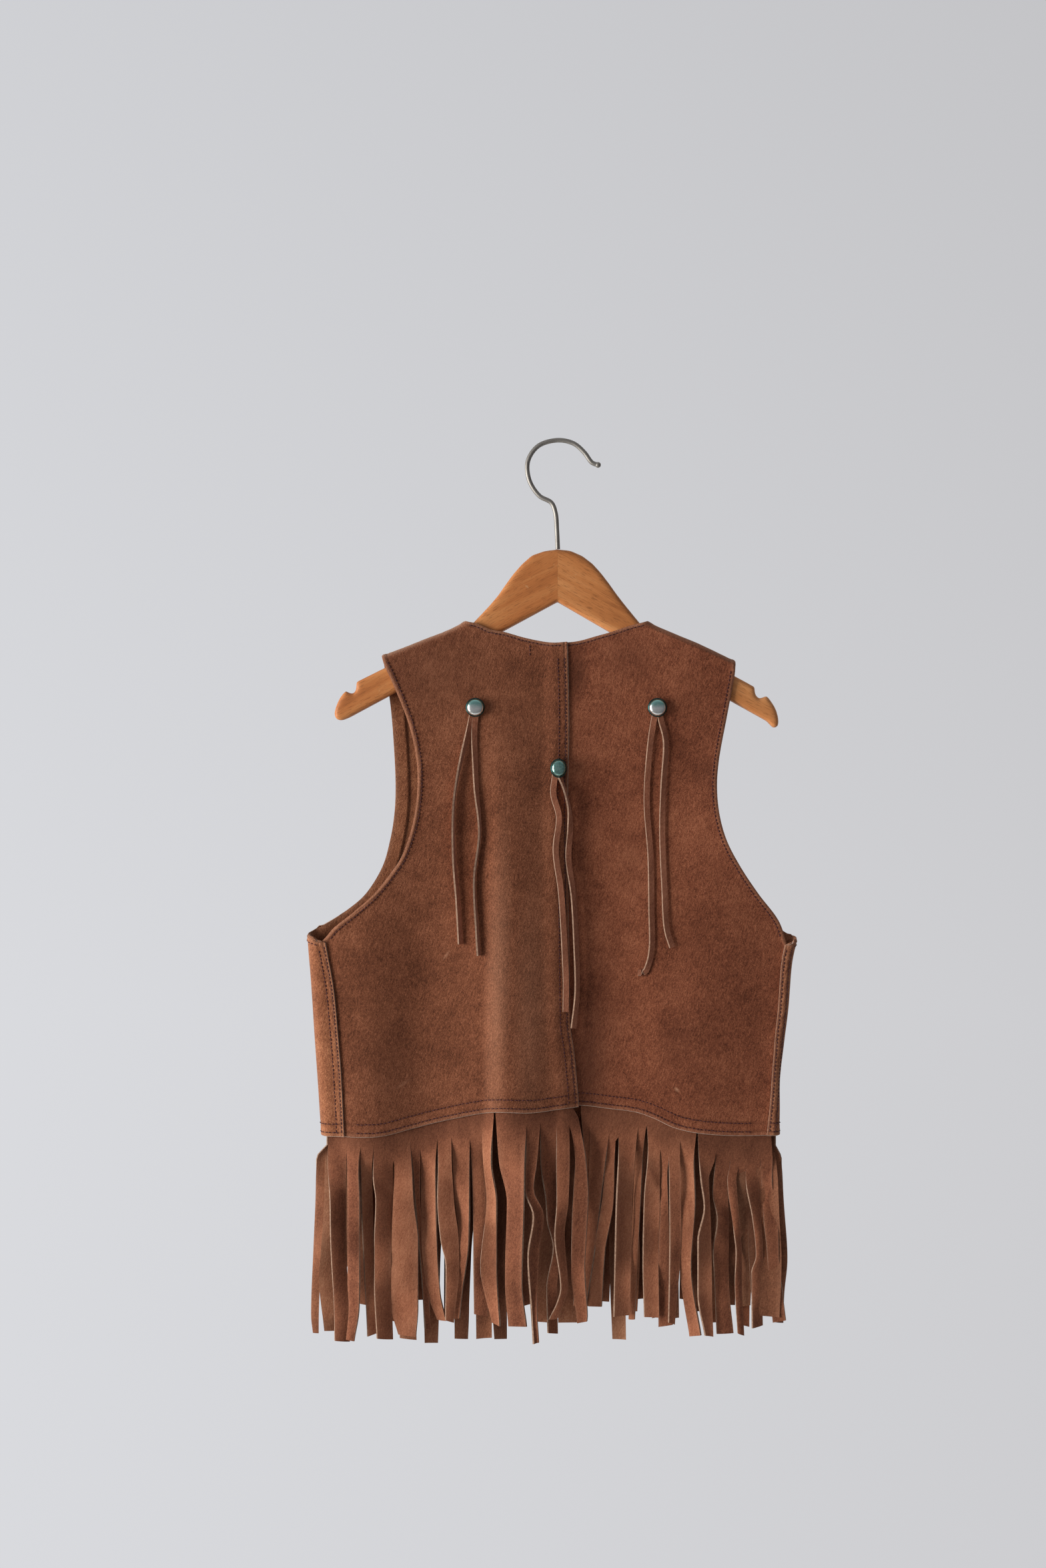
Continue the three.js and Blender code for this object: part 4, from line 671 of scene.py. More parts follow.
def hanging_part(one, root, root_z, slit_top, out):
    """Points of a strand below its slits, how free each row hangs, and the z of its tip."""
    knots = one["rows"]
    keys = np.concatenate([[slit_top], knots[:, 0]])
    ends = knots[:, 1:] if root[-1, 0] > root[0, 0] else knots[:, :0:-1]
    near_line = np.concatenate([[root[0, 0]], ends[:, 0]])
    far_line = np.concatenate([[root[-1, 0]], ends[:, 1]])
    tip_z = knots[-1, 0] + draw.uniform(-TIP_SLANT, TIP_SLANT) * (ACROSS - 0.5) * 2
    drop = np.linspace(0, 1, STRAND_ROWS + 1)[1:, None]
    z = root_z + (tip_z - root_z) * drop
    near_at = smooth_line(z[:, 0], keys, near_line)[:, None]
    far_at = smooth_line(z[:, -1], keys, far_line)[:, None]
    x = near_at + (far_at - near_at) * ACROSS
    seen = np.abs(far_at - near_at)
    cut = np.maximum(seen, abs(root[-1, 0] - root[0, 0]))
    below = root_z.mean() - z
    free = ease(below, 0, FREE_REACH)
    phase, sway, curl = draw.uniform(0, 6.28), draw.uniform(*SWAY), draw.uniform(-CURL, CURL)
    wave = np.sin(below / draw.uniform(*SWAY_PITCH) + phase)
    wave = wave + FINE_SHARE * np.sin(below / draw.uniform(*FINE_PITCH) + 2 * phase)
    turned = np.minimum(np.arccos(seen / cut), TWIST_LIMIT)
    twist = (turned + TWIST_BASE + TWIST_WAVE * wave) * free
    lean = (x - (near_at + far_at) / 2) * np.tan(np.maximum(twist, 0)) * one["light"]
    hang = root[:, 1].mean() - out * one["layer"] * LAYER_STEP
    cup = curl * (1 - (2 * ACROSS - 1) ** 2)
    y = root[:, 1] + (hang + sway * wave + cup - root[:, 1]) * free + lean
    return np.stack([x, y, z], axis=-1), free, tip_z


def strand_walls(grid, tuck_normal, free, bevels, out):
    """Outer and inner points of a strand. The outer face is narrower by its bevels, where it hangs free."""
    normal = unit(np.cross(np.gradient(grid, axis=1), np.gradient(grid, axis=0)))[TUCK_ROWS + 1:]
    if np.median(normal[..., 1]) * out < 0:
        normal = -normal
    normal = unit(tuck_normal[-1] * (1 - free[..., None]) + normal * free[..., None])
    normal = np.concatenate([tuck_normal, normal])
    bevel = np.concatenate([np.zeros((TUCK_ROWS + 1, 1)), free.mean(axis=1, keepdims=True)])
    width = grid[:, -1:] - grid[:, :1]
    span = np.linalg.norm(width[:, 0], axis=-1, keepdims=True)
    start = bevels[0] * bevel / span
    slack = 1 - start - bevels[1] * bevel / span
    outer = grid[:, :1] + width * (start + slack * ACROSS)[..., None]
    straight = grid[:, :1] + width * ACROSS[None, :, None]
    outer = outer + (grid - straight) + normal * STRIP_WALL / 2
    return outer, grid - normal * STRIP_WALL / 2, bevel


def strand_faces(rows, first, open_sides):
    """Faces of a strand and their materials. A side that its band goes on from is cut below the slit only."""
    size = rows * STRAND_COLUMNS
    faces = [grid_faces(rows, STRAND_COLUMNS, first), grid_faces(rows, STRAND_COLUMNS, first + size, True)]
    kinds = [0] * (len(faces[0]) * 2)
    for column, is_open in ((0, open_sides[0]), (STRAND_COLUMNS - 1, open_sides[1])):
        step = first + np.arange(0 if is_open else TUCK_ROWS, rows - 1) * STRAND_COLUMNS + column
        after = step + STRAND_COLUMNS
        faces.append(np.stack([step, after, after + size, step + size], axis=-1))
        kinds += [1] * len(step)
    for row in (0, rows - 1):
        step = first + row * STRAND_COLUMNS + np.arange(STRAND_COLUMNS - 1)
        faces.append(np.stack([step, step + size, step + size + 1, step + 1], axis=-1))
        kinds += [1] * len(step)
    return faces, kinds


def strand_paint(grid, bevel, tone_shift, out):
    """Paint of a strand: its worn sides, the shade of the hem and its own tone."""
    tone = draw.uniform(0, 1) + tone_shift
    x, depth = grid[..., 0], grid[TUCK_ROWS // 2, :, 2].mean() - grid[..., 2]
    paint = np.zeros((2, *x.shape, 4))
    paint[..., 0] = SIDE_WEAR * (np.abs(2 * ACROSS - 1) ** 6) * bevel
    paint[..., 1] = (1 - ease(depth, *HEM_SHADE_FALL)) * HEM_SHADE
    if out == 1:  # its inner face is in the shade of the back's fringe, down to the tips
        beyond = ease(np.where(x < 0, -x - SHADE_SHIFT, x), *BACK_SHADE_SIDE)
        covered = BACK_SHADE * (1 - ease(depth, *BACK_SHADE_FALL)) * (1 - beyond)
        paint[1, ..., 1] = np.maximum(paint[1, ..., 1], covered)
    paint[..., 2] = np.clip(tone * bevel + (0.5 + tone_shift) * (1 - bevel), 0, 1)
    paint[..., 3] = 1
    return paint.reshape(-1, 4)


def slit_band(name, slits, strands, hem_at, place, materials, out, tuck_shift, tone_shift):
    """A strip behind a hem whose strands part at the slits. out is -1 on the back and 1 on a front."""
    slits = np.array(slits, float)
    shifts = np.array([tuck_shift.get(at, 0.0) for at in range(len(slits))])
    points, faces, kinds, paint = [], [], [], []
    cut_area = 0.0
    for index, one in enumerate(strands):
        near, far = slits[index], slits[index + 1]
        tuck_x, tuck_z, root_z = tucked_part(near, far, shifts[index:index + 2], hem_at)
        tucked = place(tuck_x, tuck_z, -INSET)
        tuck_normal = unit(place(tuck_x, tuck_z, 1 - INSET) - tucked)
        body, free, tip_z = hanging_part(one, tucked[-1], root_z, max(near[1], far[1]), out)
        grid = np.concatenate([tucked, body])
        light_first = (one["light"] == 1) == (tucked[-1, -1, 0] > tucked[-1, 0, 0])
        bevels = (LIGHT_BEVEL, DARK_BEVEL) if light_first else (DARK_BEVEL, LIGHT_BEVEL)
        outer, inner, bevel = strand_walls(grid, tuck_normal, free, bevels, out)
        first = sum(len(part) for part in points)
        points += [outer.reshape(-1, 3), inner.reshape(-1, 3)]
        found, found_kinds = strand_faces(len(grid), first, (index == 0, index == len(strands) - 1))
        faces += found
        kinds += found_kinds
        paint.append(strand_paint(grid, bevel, tone_shift, out))
        length = abs(tip_z.mean() - root_z.mean()) + BAND_TUCK + CUT_SPARE
        cut_area += abs(far[0] - near[0]) * length
    piece = make_object(name, np.concatenate(points), np.concatenate(faces).tolist(), materials, kinds,
                        np.concatenate(paint), STRAND_CREASE)
    piece["flat_area"] = cut_area / 1e6
    return piece


THONG_WIDTH, THONG_WALL, THONG_LIFT = 4.8, 1.3, 0.5
THONG_STEP, THONG_BEVELS = 2.2, (0.35, 0.15)
AVERAGED_ROWS, HEAD_ROWS = 9, 8  # of a thong: for its depth, and to come off its head


def ribbon(rows, place, head_y):
    """Points, faces, their materials and the length of a thong along rows of x, z and turn."""
    line = dense(np.array(rows, float))
    length = np.linalg.norm(np.diff(line[:, :2], axis=0), axis=1).sum()
    line = along(line, np.linspace(0, 1, int(length / THONG_STEP)))
    x, z, turn = line.T
    way = unit(np.stack([np.gradient(x), np.gradient(z)], axis=-1))
    side = np.stack([-way[:, 1], way[:, 0]], axis=-1)
    side = side * np.sign(side[:, :1])
    half = THONG_WIDTH / 2
    reach = THONG_WALL / 2 + half * np.abs(np.sin(turn))
    y = place(x, z, WALL / 2)[:, 1] - THONG_LIFT - reach
    padded = np.pad(y, AVERAGED_ROWS // 2, mode="edge")
    y = np.convolve(padded, np.ones(AVERAGED_ROWS) / AVERAGED_ROWS, mode="valid")
    y = head_y + (y - head_y) * ease(np.arange(len(y)), 0, HEAD_ROWS)
    across = np.stack([side[:, 0] * np.cos(turn), np.sin(turn), side[:, 1] * np.cos(turn)], axis=-1)
    along_way = np.stack([way[:, 0], np.zeros(len(x)), way[:, 1]], axis=-1)
    normal = unit(np.cross(across, along_way))
    normal = normal * np.where(normal[:, 1:2] > 0, -1, 1)
    centre = np.stack([x, y, z], axis=-1)
    section = [(-half + THONG_BEVELS[0], 1), (-half / 3, 1), (half / 3, 1),
               (half - THONG_BEVELS[1], 1), (half, -1), (half / 3, -1), (-half / 3, -1), (-half, -1)]
    grid = np.stack([centre + across * s + normal * (THONG_WALL / 2 * n) for s, n in section], axis=1)
    kinds = [0, 0, 0, 1, 0, 0, 0, 1] * (len(grid) - 1) + [1, 1]
    return grid.reshape(-1, 3), ring_faces(len(grid), len(section)), kinds, length


def lathe(profile, centre, sides):
    """Points and faces of a turned shape whose axis runs to -Y. profile is radius and height rows."""
    angles = np.arange(sides) * 2 * math.pi / sides
    rings = [np.stack([centre[0] + r * np.cos(angles), np.full(sides, centre[1] - h),
                       centre[2] + r * np.sin(angles)], axis=-1) for r, h in profile]
    return np.concatenate(rings), ring_faces(len(profile), sides)


def tube(path, radii, sides):
    """Points and faces of a round rod along close points."""
    way = unit(np.gradient(path, axis=0))
    across = np.tile([0.0, 1.0, 0.0], (len(path), 1))
    up = unit(np.cross(way, across))
    angles = (np.arange(sides) * 2 * math.pi / sides)[None, :, None]
    rings = across[:, None] * np.cos(angles) + up[:, None] * np.sin(angles)
    grid = path[:, None] + radii[:, None, None] * rings
    return grid.reshape(-1, 3), ring_faces(len(path), sides)


def moved_faces(faces, first):
    """Faces whose points come after others."""
    return [tuple(first + corner for corner in face) for face in faces]


# --- materials ------------------------------------------------------------------------------------------

def srgb(red, green, blue):
    def linear(value):
        value /= 255
        return value / 12.92 if value <= 0.04045 else ((value + 0.055) / 1.055) ** 2.4

    return (linear(red), linear(green), linear(blue), 1.0)


class Nodes:
    """The node tree of a material or the world, with short ways to add to it."""

    def __init__(self, owner, shader="BSDF_PRINCIPLED", coordinates="Object"):
        owner.use_nodes = True
        self.owner, self.tree = owner, owner.node_tree
        self.shader = next(node for node in self.tree.nodes if node.type == shader)
        self.place = self.add("ShaderNodeTexCoord").outputs[coordinates]

    def add(self, kind, **values):
        node = self.tree.nodes.new(kind)
        for key, value in values.items():
            if hasattr(node, key):
                setattr(node, key, value)
            else:
                node.inputs[key.replace("_", " ")].default_value = value
        return node

    def link(self, source, target):
        self.tree.links.new(source, target)

    def shift(self, x, y, z):
        """Moves the coordinates that the next nodes read."""
        moved = self.add("ShaderNodeVectorMath", operation="ADD")
        moved.inputs[1].default_value = (x, y, z)
        self.link(self.place, moved.inputs[0])
        self.place = moved.outputs["Vector"]

    def stretched(self, scale, angle=0.0):
        """The coordinates turned about Y and scaled."""
        node = self.add("ShaderNodeMapping", vector_type="TEXTURE")
        node.inputs["Rotation"].default_value = (0, angle, 0)
        node.inputs["Scale"].default_value = tuple(1 / part for part in scale)
        self.link(self.place, node.inputs["Vector"])
        return node.outputs["Vector"]

    def noise(self, scale, detail=3.0, roughness=0.55, vector=None, distortion=0.0):
        node = self.add("ShaderNodeTexNoise", Scale=scale, Detail=detail, Roughness=roughness,
                        Distortion=distortion)
        self.link(vector or self.place, node.inputs["Vector"])
        return node.outputs["Fac"]

    def math(self, operation, first, second=0.0, third=0.0, clamp=False):
        node = self.add("ShaderNodeMath", operation=operation, use_clamp=clamp)
        for at, value in enumerate((first, second, third)):
            if isinstance(value, (int, float)):
                node.inputs[at].default_value = value
            else:
                self.link(value, node.inputs[at])
        return node.outputs["Value"]

    def swing(self, value, weight):
        """How far a value is from 0.5, times a weight."""
        return self.math("MULTIPLY", self.math("SUBTRACT", value, 0.5), weight)

    def weighed(self, *parts):
        """Sum of the swings of values with their weights, about 0.5."""
        total = 0.5
        for value, weight in parts:
            total = self.math("ADD", total, self.swing(value, weight))
        return total

    def ramp(self, value, *stops):
        node = self.add("ShaderNodeValToRGB")
        elements = node.color_ramp.elements
        while len(elements) < len(stops):
            elements.new(0.5)
        for element, (at, colour) in zip(elements, stops):
            element.position = at
            element.color = colour
        self.link(value, node.inputs["Fac"])
        return node.outputs["Color"]

    def mix(self, share, first, second, blend="MIX"):
        node = self.add("ShaderNodeMix", data_type="RGBA", blend_type=blend)
        sockets = [socket for socket in node.inputs if socket.type == "RGBA"]
        for socket, value in ((node.inputs[0], share), (sockets[0], first), (sockets[1], second)):
            if isinstance(value, (int, float, tuple)):
                socket.default_value = value
            else:
                self.link(value, socket)
        return next(socket for socket in node.outputs if socket.type == "RGBA")

    def share(self, source, low, high):
        """A share from 0 to 1 between two values."""
        node = self.add("ShaderNodeMapRange", From_Min=low, From_Max=high)
        self.link(source, node.inputs["Value"])
        return node.outputs["Result"]

    def spot(self, centre, half_size, angle):
        """1.2 at a point of the vest, in millimetres, fading to 0 a little outside its half size."""
        move = self.add("ShaderNodeVectorMath", operation="SUBTRACT")
        move.inputs[1].default_value = (centre[0] / 1000, 0, centre[1] / 1000)
        self.link(self.place, move.inputs[0])
        turn = self.add("ShaderNodeMapping", vector_type="TEXTURE")
        turn.inputs["Rotation"].default_value = (0, angle, 0)
        turn.inputs["Scale"].default_value = (half_size[0] / 1000, 1000, half_size[1] / 1000)
        self.link(move.outputs["Vector"], turn.inputs["Vector"])
        size = self.add("ShaderNodeVectorMath", operation="LENGTH")
        self.link(turn.outputs["Vector"], size.inputs[0])
        return self.math("SUBTRACT", 1.2, size.outputs["Value"], clamp=True)

    def bump(self, height, strength, distance):
        node = self.add("ShaderNodeBump", Strength=strength, Distance=distance)
        self.link(height, node.inputs["Height"])
        self.link(node.outputs["Normal"], self.shader.inputs["Normal"])

    def finish(self, colour, **values):
        self.link(colour, self.shader.inputs["Base Color"])
        for key, value in values.items():
            self.shader.inputs[key.replace("_", " ")].default_value = value
        return self.owner


# Pale colour of wear and scuffs, and of painted light along the fold ridges
WORN_AND_LIT = srgb(176, 126, 98)
# Colour of painted shade: in the grooves under the stitches, inside the turned allowances, under the hems, on
# the front fringe behind the back's and in the dark spots
PAINTED_SHADE = srgb(52, 26, 18)


def suede(name, dark, middle, light, seed, spots=(), strand=False):
    """Nap with clouds and grain, which the paint layer wears and darkens with painted shade. Its spots add
    scuffs, painted light and painted shade.
    """
    n = Nodes(bpy.data.materials.new(name))
    n.shift(seed, seed * 0.7, -seed)
    clouds = n.noise(13, 3, 0.5)
    patches = n.noise(52, 4, 0.6, distortion=0.4)
    mottle = n.noise(170, 4, 0.6)
    grain = n.noise(740, 4, 0.7)
    specks = n.noise(1700, 2, 0.6)
    nap = n.noise(1, 4, 0.6, n.stretched((900, 900, 230), 0.35))
    rough = 0.55 if strand else 1.0
    tone = n.weighed((clouds, 0.5), (patches, 0.18 if strand else 0.36), (mottle, 0.26 * rough),
                     (grain, 1.0 * rough), (specks, 0.7 * rough), (nap, 0.7 * rough))
    attribute = n.add("ShaderNodeAttribute", attribute_name="paint")
    parts = n.add("ShaderNodeSeparateColor")
    n.link(attribute.outputs["Color"], parts.inputs["Color"])
    if strand:
        streaks = n.noise(1, 4, 0.6, n.stretched((95, 95, 16)))
        own = n.math("ADD", n.swing(parts.outputs["Blue"], 0.3), n.swing(streaks, 0.36))
        tone = n.math("ADD", tone, own)
    colour = n.ramp(tone, (0.18, dark), (0.5, middle), (0.84, light))
    wear = n.math("MULTIPLY", parts.outputs["Red"], n.math("ADD", grain, 0.15), clamp=True)
    colour = n.mix(wear, colour, WORN_AND_LIT)
    # painted shade, by the paint's green
    colour = n.mix(n.math("MULTIPLY", parts.outputs["Green"], 0.55), colour, PAINTED_SHADE)
    n.place = n.add("ShaderNodeTexCoord").outputs["Object"]  # spots lie at their own places
    # Spots: scuffs, painted light along the fold ridges and dark spots that are mostly painted shade
    for centre, half_size, angle, strength in spots:
        broken = n.math("MULTIPLY", grain, abs(strength) * 1.8)
        share = n.math("MULTIPLY", n.spot(centre, half_size, angle), broken)
        colour = n.mix(share, colour, WORN_AND_LIT if strength > 0 else PAINTED_SHADE)
    height = n.weighed((grain, 1.0), (specks, 0.7), (nap, 0.7), (mottle, 0.6))
    n.bump(height, 0.4 if strand else 0.8, 0.0006)
    return n.finish(colour, Roughness=0.95, Sheen_Weight=0.28, Sheen_Roughness=0.45,
                    Sheen_Tint=(1.0, 0.78, 0.62, 1.0), Specular_IOR_Level=0.12)


def plain_noise(name, dark, light, scale, bump, distance=0.0003, **values):
    """Cut suede, thread or paint, with a coarse and a fine noise."""
    n = Nodes(bpy.data.materials.new(name))
    coarse, fine = n.noise(scale, 4, 0.6), n.noise(scale * 5, 3, 0.6)
    tone = n.weighed((coarse, 0.9), (fine, 0.7))
    n.bump(fine, bump, distance)
    return n.finish(n.ramp(tone, (0.2, dark), (0.8, light)), **values)


def wood(name, angle, dark, middle, light, seed):
    """Beech whose grain runs along the arm of the hanger."""
    n = Nodes(bpy.data.materials.new(name))
    n.shift(seed, seed, seed)
    grain = n.noise(1, 5, 0.6, n.stretched((9, 170, 170), angle), 0.6)
    figure = n.noise(1, 3, 0.5, n.stretched((5, 42, 42), angle), 0.9)
    flecks = n.noise(1, 2, 0.5, n.stretched((130, 1500, 1500), angle))
    clouds = n.noise(16, 3)
    tone = n.weighed((grain, 0.8), (figure, 0.9), (clouds, 0.5))
    colour = n.ramp(tone, (0.2, dark), (0.5, middle), (0.85, light))
    fleck = n.math("MULTIPLY", n.math("GREATER_THAN", flecks, 0.59), 0.38)
    colour = n.mix(fleck, colour, srgb(104, 58, 26))
    wear = n.math("MULTIPLY", n.math("GREATER_THAN", n.noise(95, 5, 0.7), 0.68), 0.4)
    colour = n.mix(wear, colour, srgb(206, 160, 112))
    n.bump(n.weighed((flecks, 0.8), (grain, 0.5)), 0.25, 0.0003)
    return n.finish(colour, Roughness=0.55, Coat_Weight=0.12, Coat_Roughness=0.3, Specular_IOR_Level=0.3)


def metal(name, dark, light, scale, roughness, patina_and_reflection_z=None, **values):
    """Metal with a cloudy polish. On a stud, darker teal above the given height and brighter silver below it:
    patina and a painted reflection.
    """
    n = Nodes(bpy.data.materials.new(name))
    tone = n.weighed((n.noise(scale, 4, 0.6), 0.9), (n.noise(scale * 6, 2), 0.4))
    if patina_and_reflection_z is not None:
        height = n.add("ShaderNodeSeparateXYZ")
        n.link(n.place, height.inputs["Vector"])
        fall = n.math("MULTIPLY", n.math("SUBTRACT", height.outputs["Z"], patina_and_reflection_z / 1000), -110)
        tone = n.math("ADD", n.swing(tone, 0.5), n.math("ADD", fall, 0.5))
    colour = n.ramp(tone, (0.3, dark), (0.7, light))
    rough = n.math("ADD", roughness, n.math("MULTIPLY", n.noise(scale * 2, 3), 0.1))
    n.link(rough, n.shader.inputs["Roughness"])
    n.bump(n.noise(scale * 5, 2), 0.02, 0.0001)
    return n.finish(colour, Metallic=1.0, **values)


# Scuffs of the hide, painted light along the fold ridges and dark spots, most of them painted shade in the
# valleys, troughs and upper panel: middle, half size, lean, strength (below 0 for a dark one)
LEFT_SPOTS = [((-87.6, -404.9), (1.2, 4.6), 0.6, 0.6), ((-121.6, -506.1), (1.6, 7.0), 1.0, 0.3),
              ((-47, -430), (10, 130), 0.03, 0.3), ((-98, -178), (62, 44), 0.2, -0.3),
              ((-30, -230), (26, 60), 0.1, -0.16), ((-128, -500), (34, 60), -0.1, -0.14),
              ((-22, -450), (14, 90), 0.0, 0.16)]
RIGHT_SPOTS = [((93.8, -510.8), (2.6, 1.5), 0.7, 1.0), ((14, -184), (10, 26), 0.1, -0.5),
               ((56, -170), (26, 20), 0.2, -0.2), ((120, -260), (14, 12), 0, -0.22),
               ((98, -470), (20, 26), 0.3, -0.2), ((60, -330), (22, 30), 0.2, -0.14),
               ((30, -470), (20, 90), 0.0, -0.22), ((25, -500), (13, 60), 0.0, -0.4)]
left_suede = suede("suede_left_nap", srgb(80, 43, 27), srgb(121, 71, 48), srgb(157, 100, 72), 0.3, LEFT_SPOTS)
right_suede = suede("suede_right_nap", srgb(84, 42, 27), srgb(129, 73, 50), srgb(164, 102, 73), 1.7,
                    RIGHT_SPOTS)
side_suede = suede("suede_side_nap", srgb(94, 53, 34), srgb(140, 86, 58), srgb(176, 118, 84), 2.9)
# A lighter copy of the side nap for the right side, which faces away from the window: painted light
lit_right_side_suede = suede("suede_side_right_lit_nap", srgb(104, 60, 41), srgb(154, 97, 69), srgb(188, 130, 97),
                         3.3)
fringe_suede = suede("suede_fringe_nap", srgb(92, 51, 35), srgb(141, 87, 62), srgb(178, 119, 88), 4.1,
                     strand=True)
front_fringe_suede = suede("suede_fringe_front", srgb(92, 54, 37), srgb(138, 88, 63), srgb(178, 128, 97), 6.2,
                           strand=True)
# Lightened beyond the hide's own colour to make up for the thongs' shade: painted light
lit_thong_suede = suede("suede_thong_lit_nap", srgb(122, 72, 52), srgb(166, 108, 82), srgb(192, 134, 106), 5.3,
                    strand=True)
cut_edge = plain_noise("suede_cut_edge", srgb(120, 88, 70), srgb(196, 168, 148), 500, 0.6, 0.0004,
                       Roughness=0.95, Specular_IOR_Level=0.1, Sheen_Weight=0.2)
strand_edge = plain_noise("suede_strand_edge", srgb(108, 78, 62), srgb(176, 146, 124), 500, 0.6, 0.0004,
                          Roughness=0.95, Specular_IOR_Level=0.1, Sheen_Weight=0.1)
thread = plain_noise("maroon_thread", srgb(40, 14, 20), srgb(84, 34, 42), 1500, 0.4, 0.0002,
                     Roughness=0.6, Specular_IOR_Level=0.35)
wood_left = wood("beech_left", -0.49, srgb(138, 76, 34), srgb(184, 112, 58), srgb(208, 142, 84), 0.2)
wood_right = wood("beech_right", 0.5, srgb(147, 84, 39), srgb(194, 123, 67), srgb(220, 153, 95), 3.7)
steel = metal("hook_steel_worn", srgb(138, 133, 127), srgb(160, 156, 149), 60, 0.5)
# Darker teal above and bright silver below: patina and a painted reflection of the room
stud_face = metal("stud_nickel", srgb(140, 186, 178), srgb(236, 238, 234), 200, 0.2, -209)
# Dark rolled rim: painted reflection of a dark room
stud_rim_reflection = metal("stud_rim_painted_reflection", srgb(20, 44, 46), srgb(54, 92, 92), 300, 0.3)
# The centre stud all darker teal: patina and a painted reflection of the room
stud_green = metal("stud_patina_and_reflection", srgb(84, 132, 124), srgb(160, 196, 186), 260, 0.22)

# --- the vest -------------------------------------------------------------------------------------------

SIDES = {"left": 1, "right": -1}  # the way in from each side
PLACES = {
    "back_left": place_back("left"),
    "back_right": place_back("right"),
    "front_left": place_front("left"),
    "front_right": place_front("right"),
}
SHARES = np.linspace(0, 1, 400)
LOW_SHARES, HIGH_SHARES = SHARES * LOW_SHARE, LOW_SHARE + SHARES * (1 - LOW_SHARE)


def back_edges(patch, centre_rows):
    neck = CORNER_SHARE + SHARES * (1 - CORNER_SHARE)
    return {
        "hem": Edge(patch.foot(SHARES), rows=(2.9, 9.6), rim=0.1, wear=0.3, trim=(14, 6)),
        "seam": Edge(patch.near(LOW_SHARES)),
        "armhole": Edge(patch.near(HIGH_SHARES), rows=(3.6,), rim=0.5, wear=0.6, trim=(8, 5)),
        "shoulder": Edge(patch.top(SHARES * CORNER_SHARE), wear=0.9),
        "neckline": Edge(patch.top(neck), rows=(2.5,), rim=0.35, wear=0.7, trim=(4, 2)),
        "centre": Edge(patch.far(SHARES), rows=centre_rows, wear=0.35, trim=(3, 10)),
    }


def front_edges(patch):
    return {
        "hem": Edge(patch.foot(SHARES), rows=(2.9, 9.6), rim=0.1, wear=0.3, trim=(4, 4)),
        "seam": Edge(patch.near(LOW_SHARES), rows=(1.7, 6.0), wear=0.5, trim=(3, 2)),
        "armhole": Edge(patch.near(HIGH_SHARES), rows=(3.6,), rim=0.4, wear=0.6, trim=(6, 5), turned=11.0),
        "shoulder": Edge(patch.top(SHARES)),
        "neckline": Edge(patch.far(HIGH_SHARES), rows=(3.0,), rim=0.3, wear=0.5, trim=(4, 4)),
        "opening": Edge(patch.far(LOW_SHARES), rows=(3.0,), rim=0.2, wear=0.4, trim=(4, 4)),
    }


# Rows of stitches in from a back's centre edge
CENTRE_ROWS = {"left": (2.2, 7.4), "right": ()}
# Material, slot and flat size in metres
panels = {
    "back_left": (left_suede, "suede_left", (0.205, 0.41)),
    "back_right": (right_suede, "suede_right", (0.185, 0.41)),
    "front_left": (side_suede, "suede_side", (0.215, 0.41)),
    "front_right": (lit_right_side_suede, "suede_side", (0.205, 0.41)),
}
STITCH_SINK = 0.15
NECK_STITCHES, NECK_LIFT = np.array([(-22.0, -161.0), (-22.0, -171.5)]), 0.1
shells = {}
for node, (material, slot, _) in panels.items():
    face, side = node.split("_")
    patch = back_patch(side) if face == "back" else front_patch(side)
    edges = back_edges(patch, CENTRE_ROWS[side]) if face == "back" else front_edges(patch)
    piece = shell(f"suede_{node}", patch, PLACES[node], edges, [material, cut_edge])
    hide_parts(node)
    shells[node] = piece
    stitches = Thread()
    centre = patch.at(np.float64(0.55), np.float64(0.5))
    for edge in edges.values():
        for row in edge.rows:
            line = inner_line(edge.line, row, centre)
            stitches.run(line, PLACES[node], WALL / 2 + edge.rim - STITCH_SINK, edge.trim)
    if node == "back_left":
        stitches.run(NECK_STITCHES, PLACES[node], WALL / 2 + NECK_LIFT, (0, 0))
    shells[f"stitches_{node}"] = stitches.piece(f"stitches_{node}", thread)

# The strips of the back: slits from left to right as x and z, then the strands between them
BACK_LEFT_OUTER_SLITS = [(-180.6, -549.6), (-166.7, -555.9), (-154.7, -554.9), (-144.7, -553.8),
                         (-129, -566.4), (-116.4, -551.2), (-108.5, -557), (-94.9, -549.6), (-83.9, -546),
                         (-69.2, -550.1), (-60.3, -536), (-50.3, -530.7)]
BACK_LEFT_INNER_SLITS = [(-48.8, -529.7), (-24.1, -536.5), (-13.6, -535.5), (-1, -533.4), (8.9, -539.1),
                         (16.3, -532.8)]
BACK_RIGHT_INNER_SLITS = [(18.4, -529.7), (25.7, -539.1), (41.4, -544.9), (48.2, -548.6), (64, -539.1),
                          (70.5, -539.1), (81.3, -558), (88.6, -559.6), (96.5, -551.2), (109.1, -546.5)]
BACK_RIGHT_OUTER_SLITS = [(110.6, -548.6), (124.8, -560.6), (136.3, -565.9), (142.1, -571.6),
                          (148.9, -572.7), (160.4, -565.4), (168.8, -549.6)]
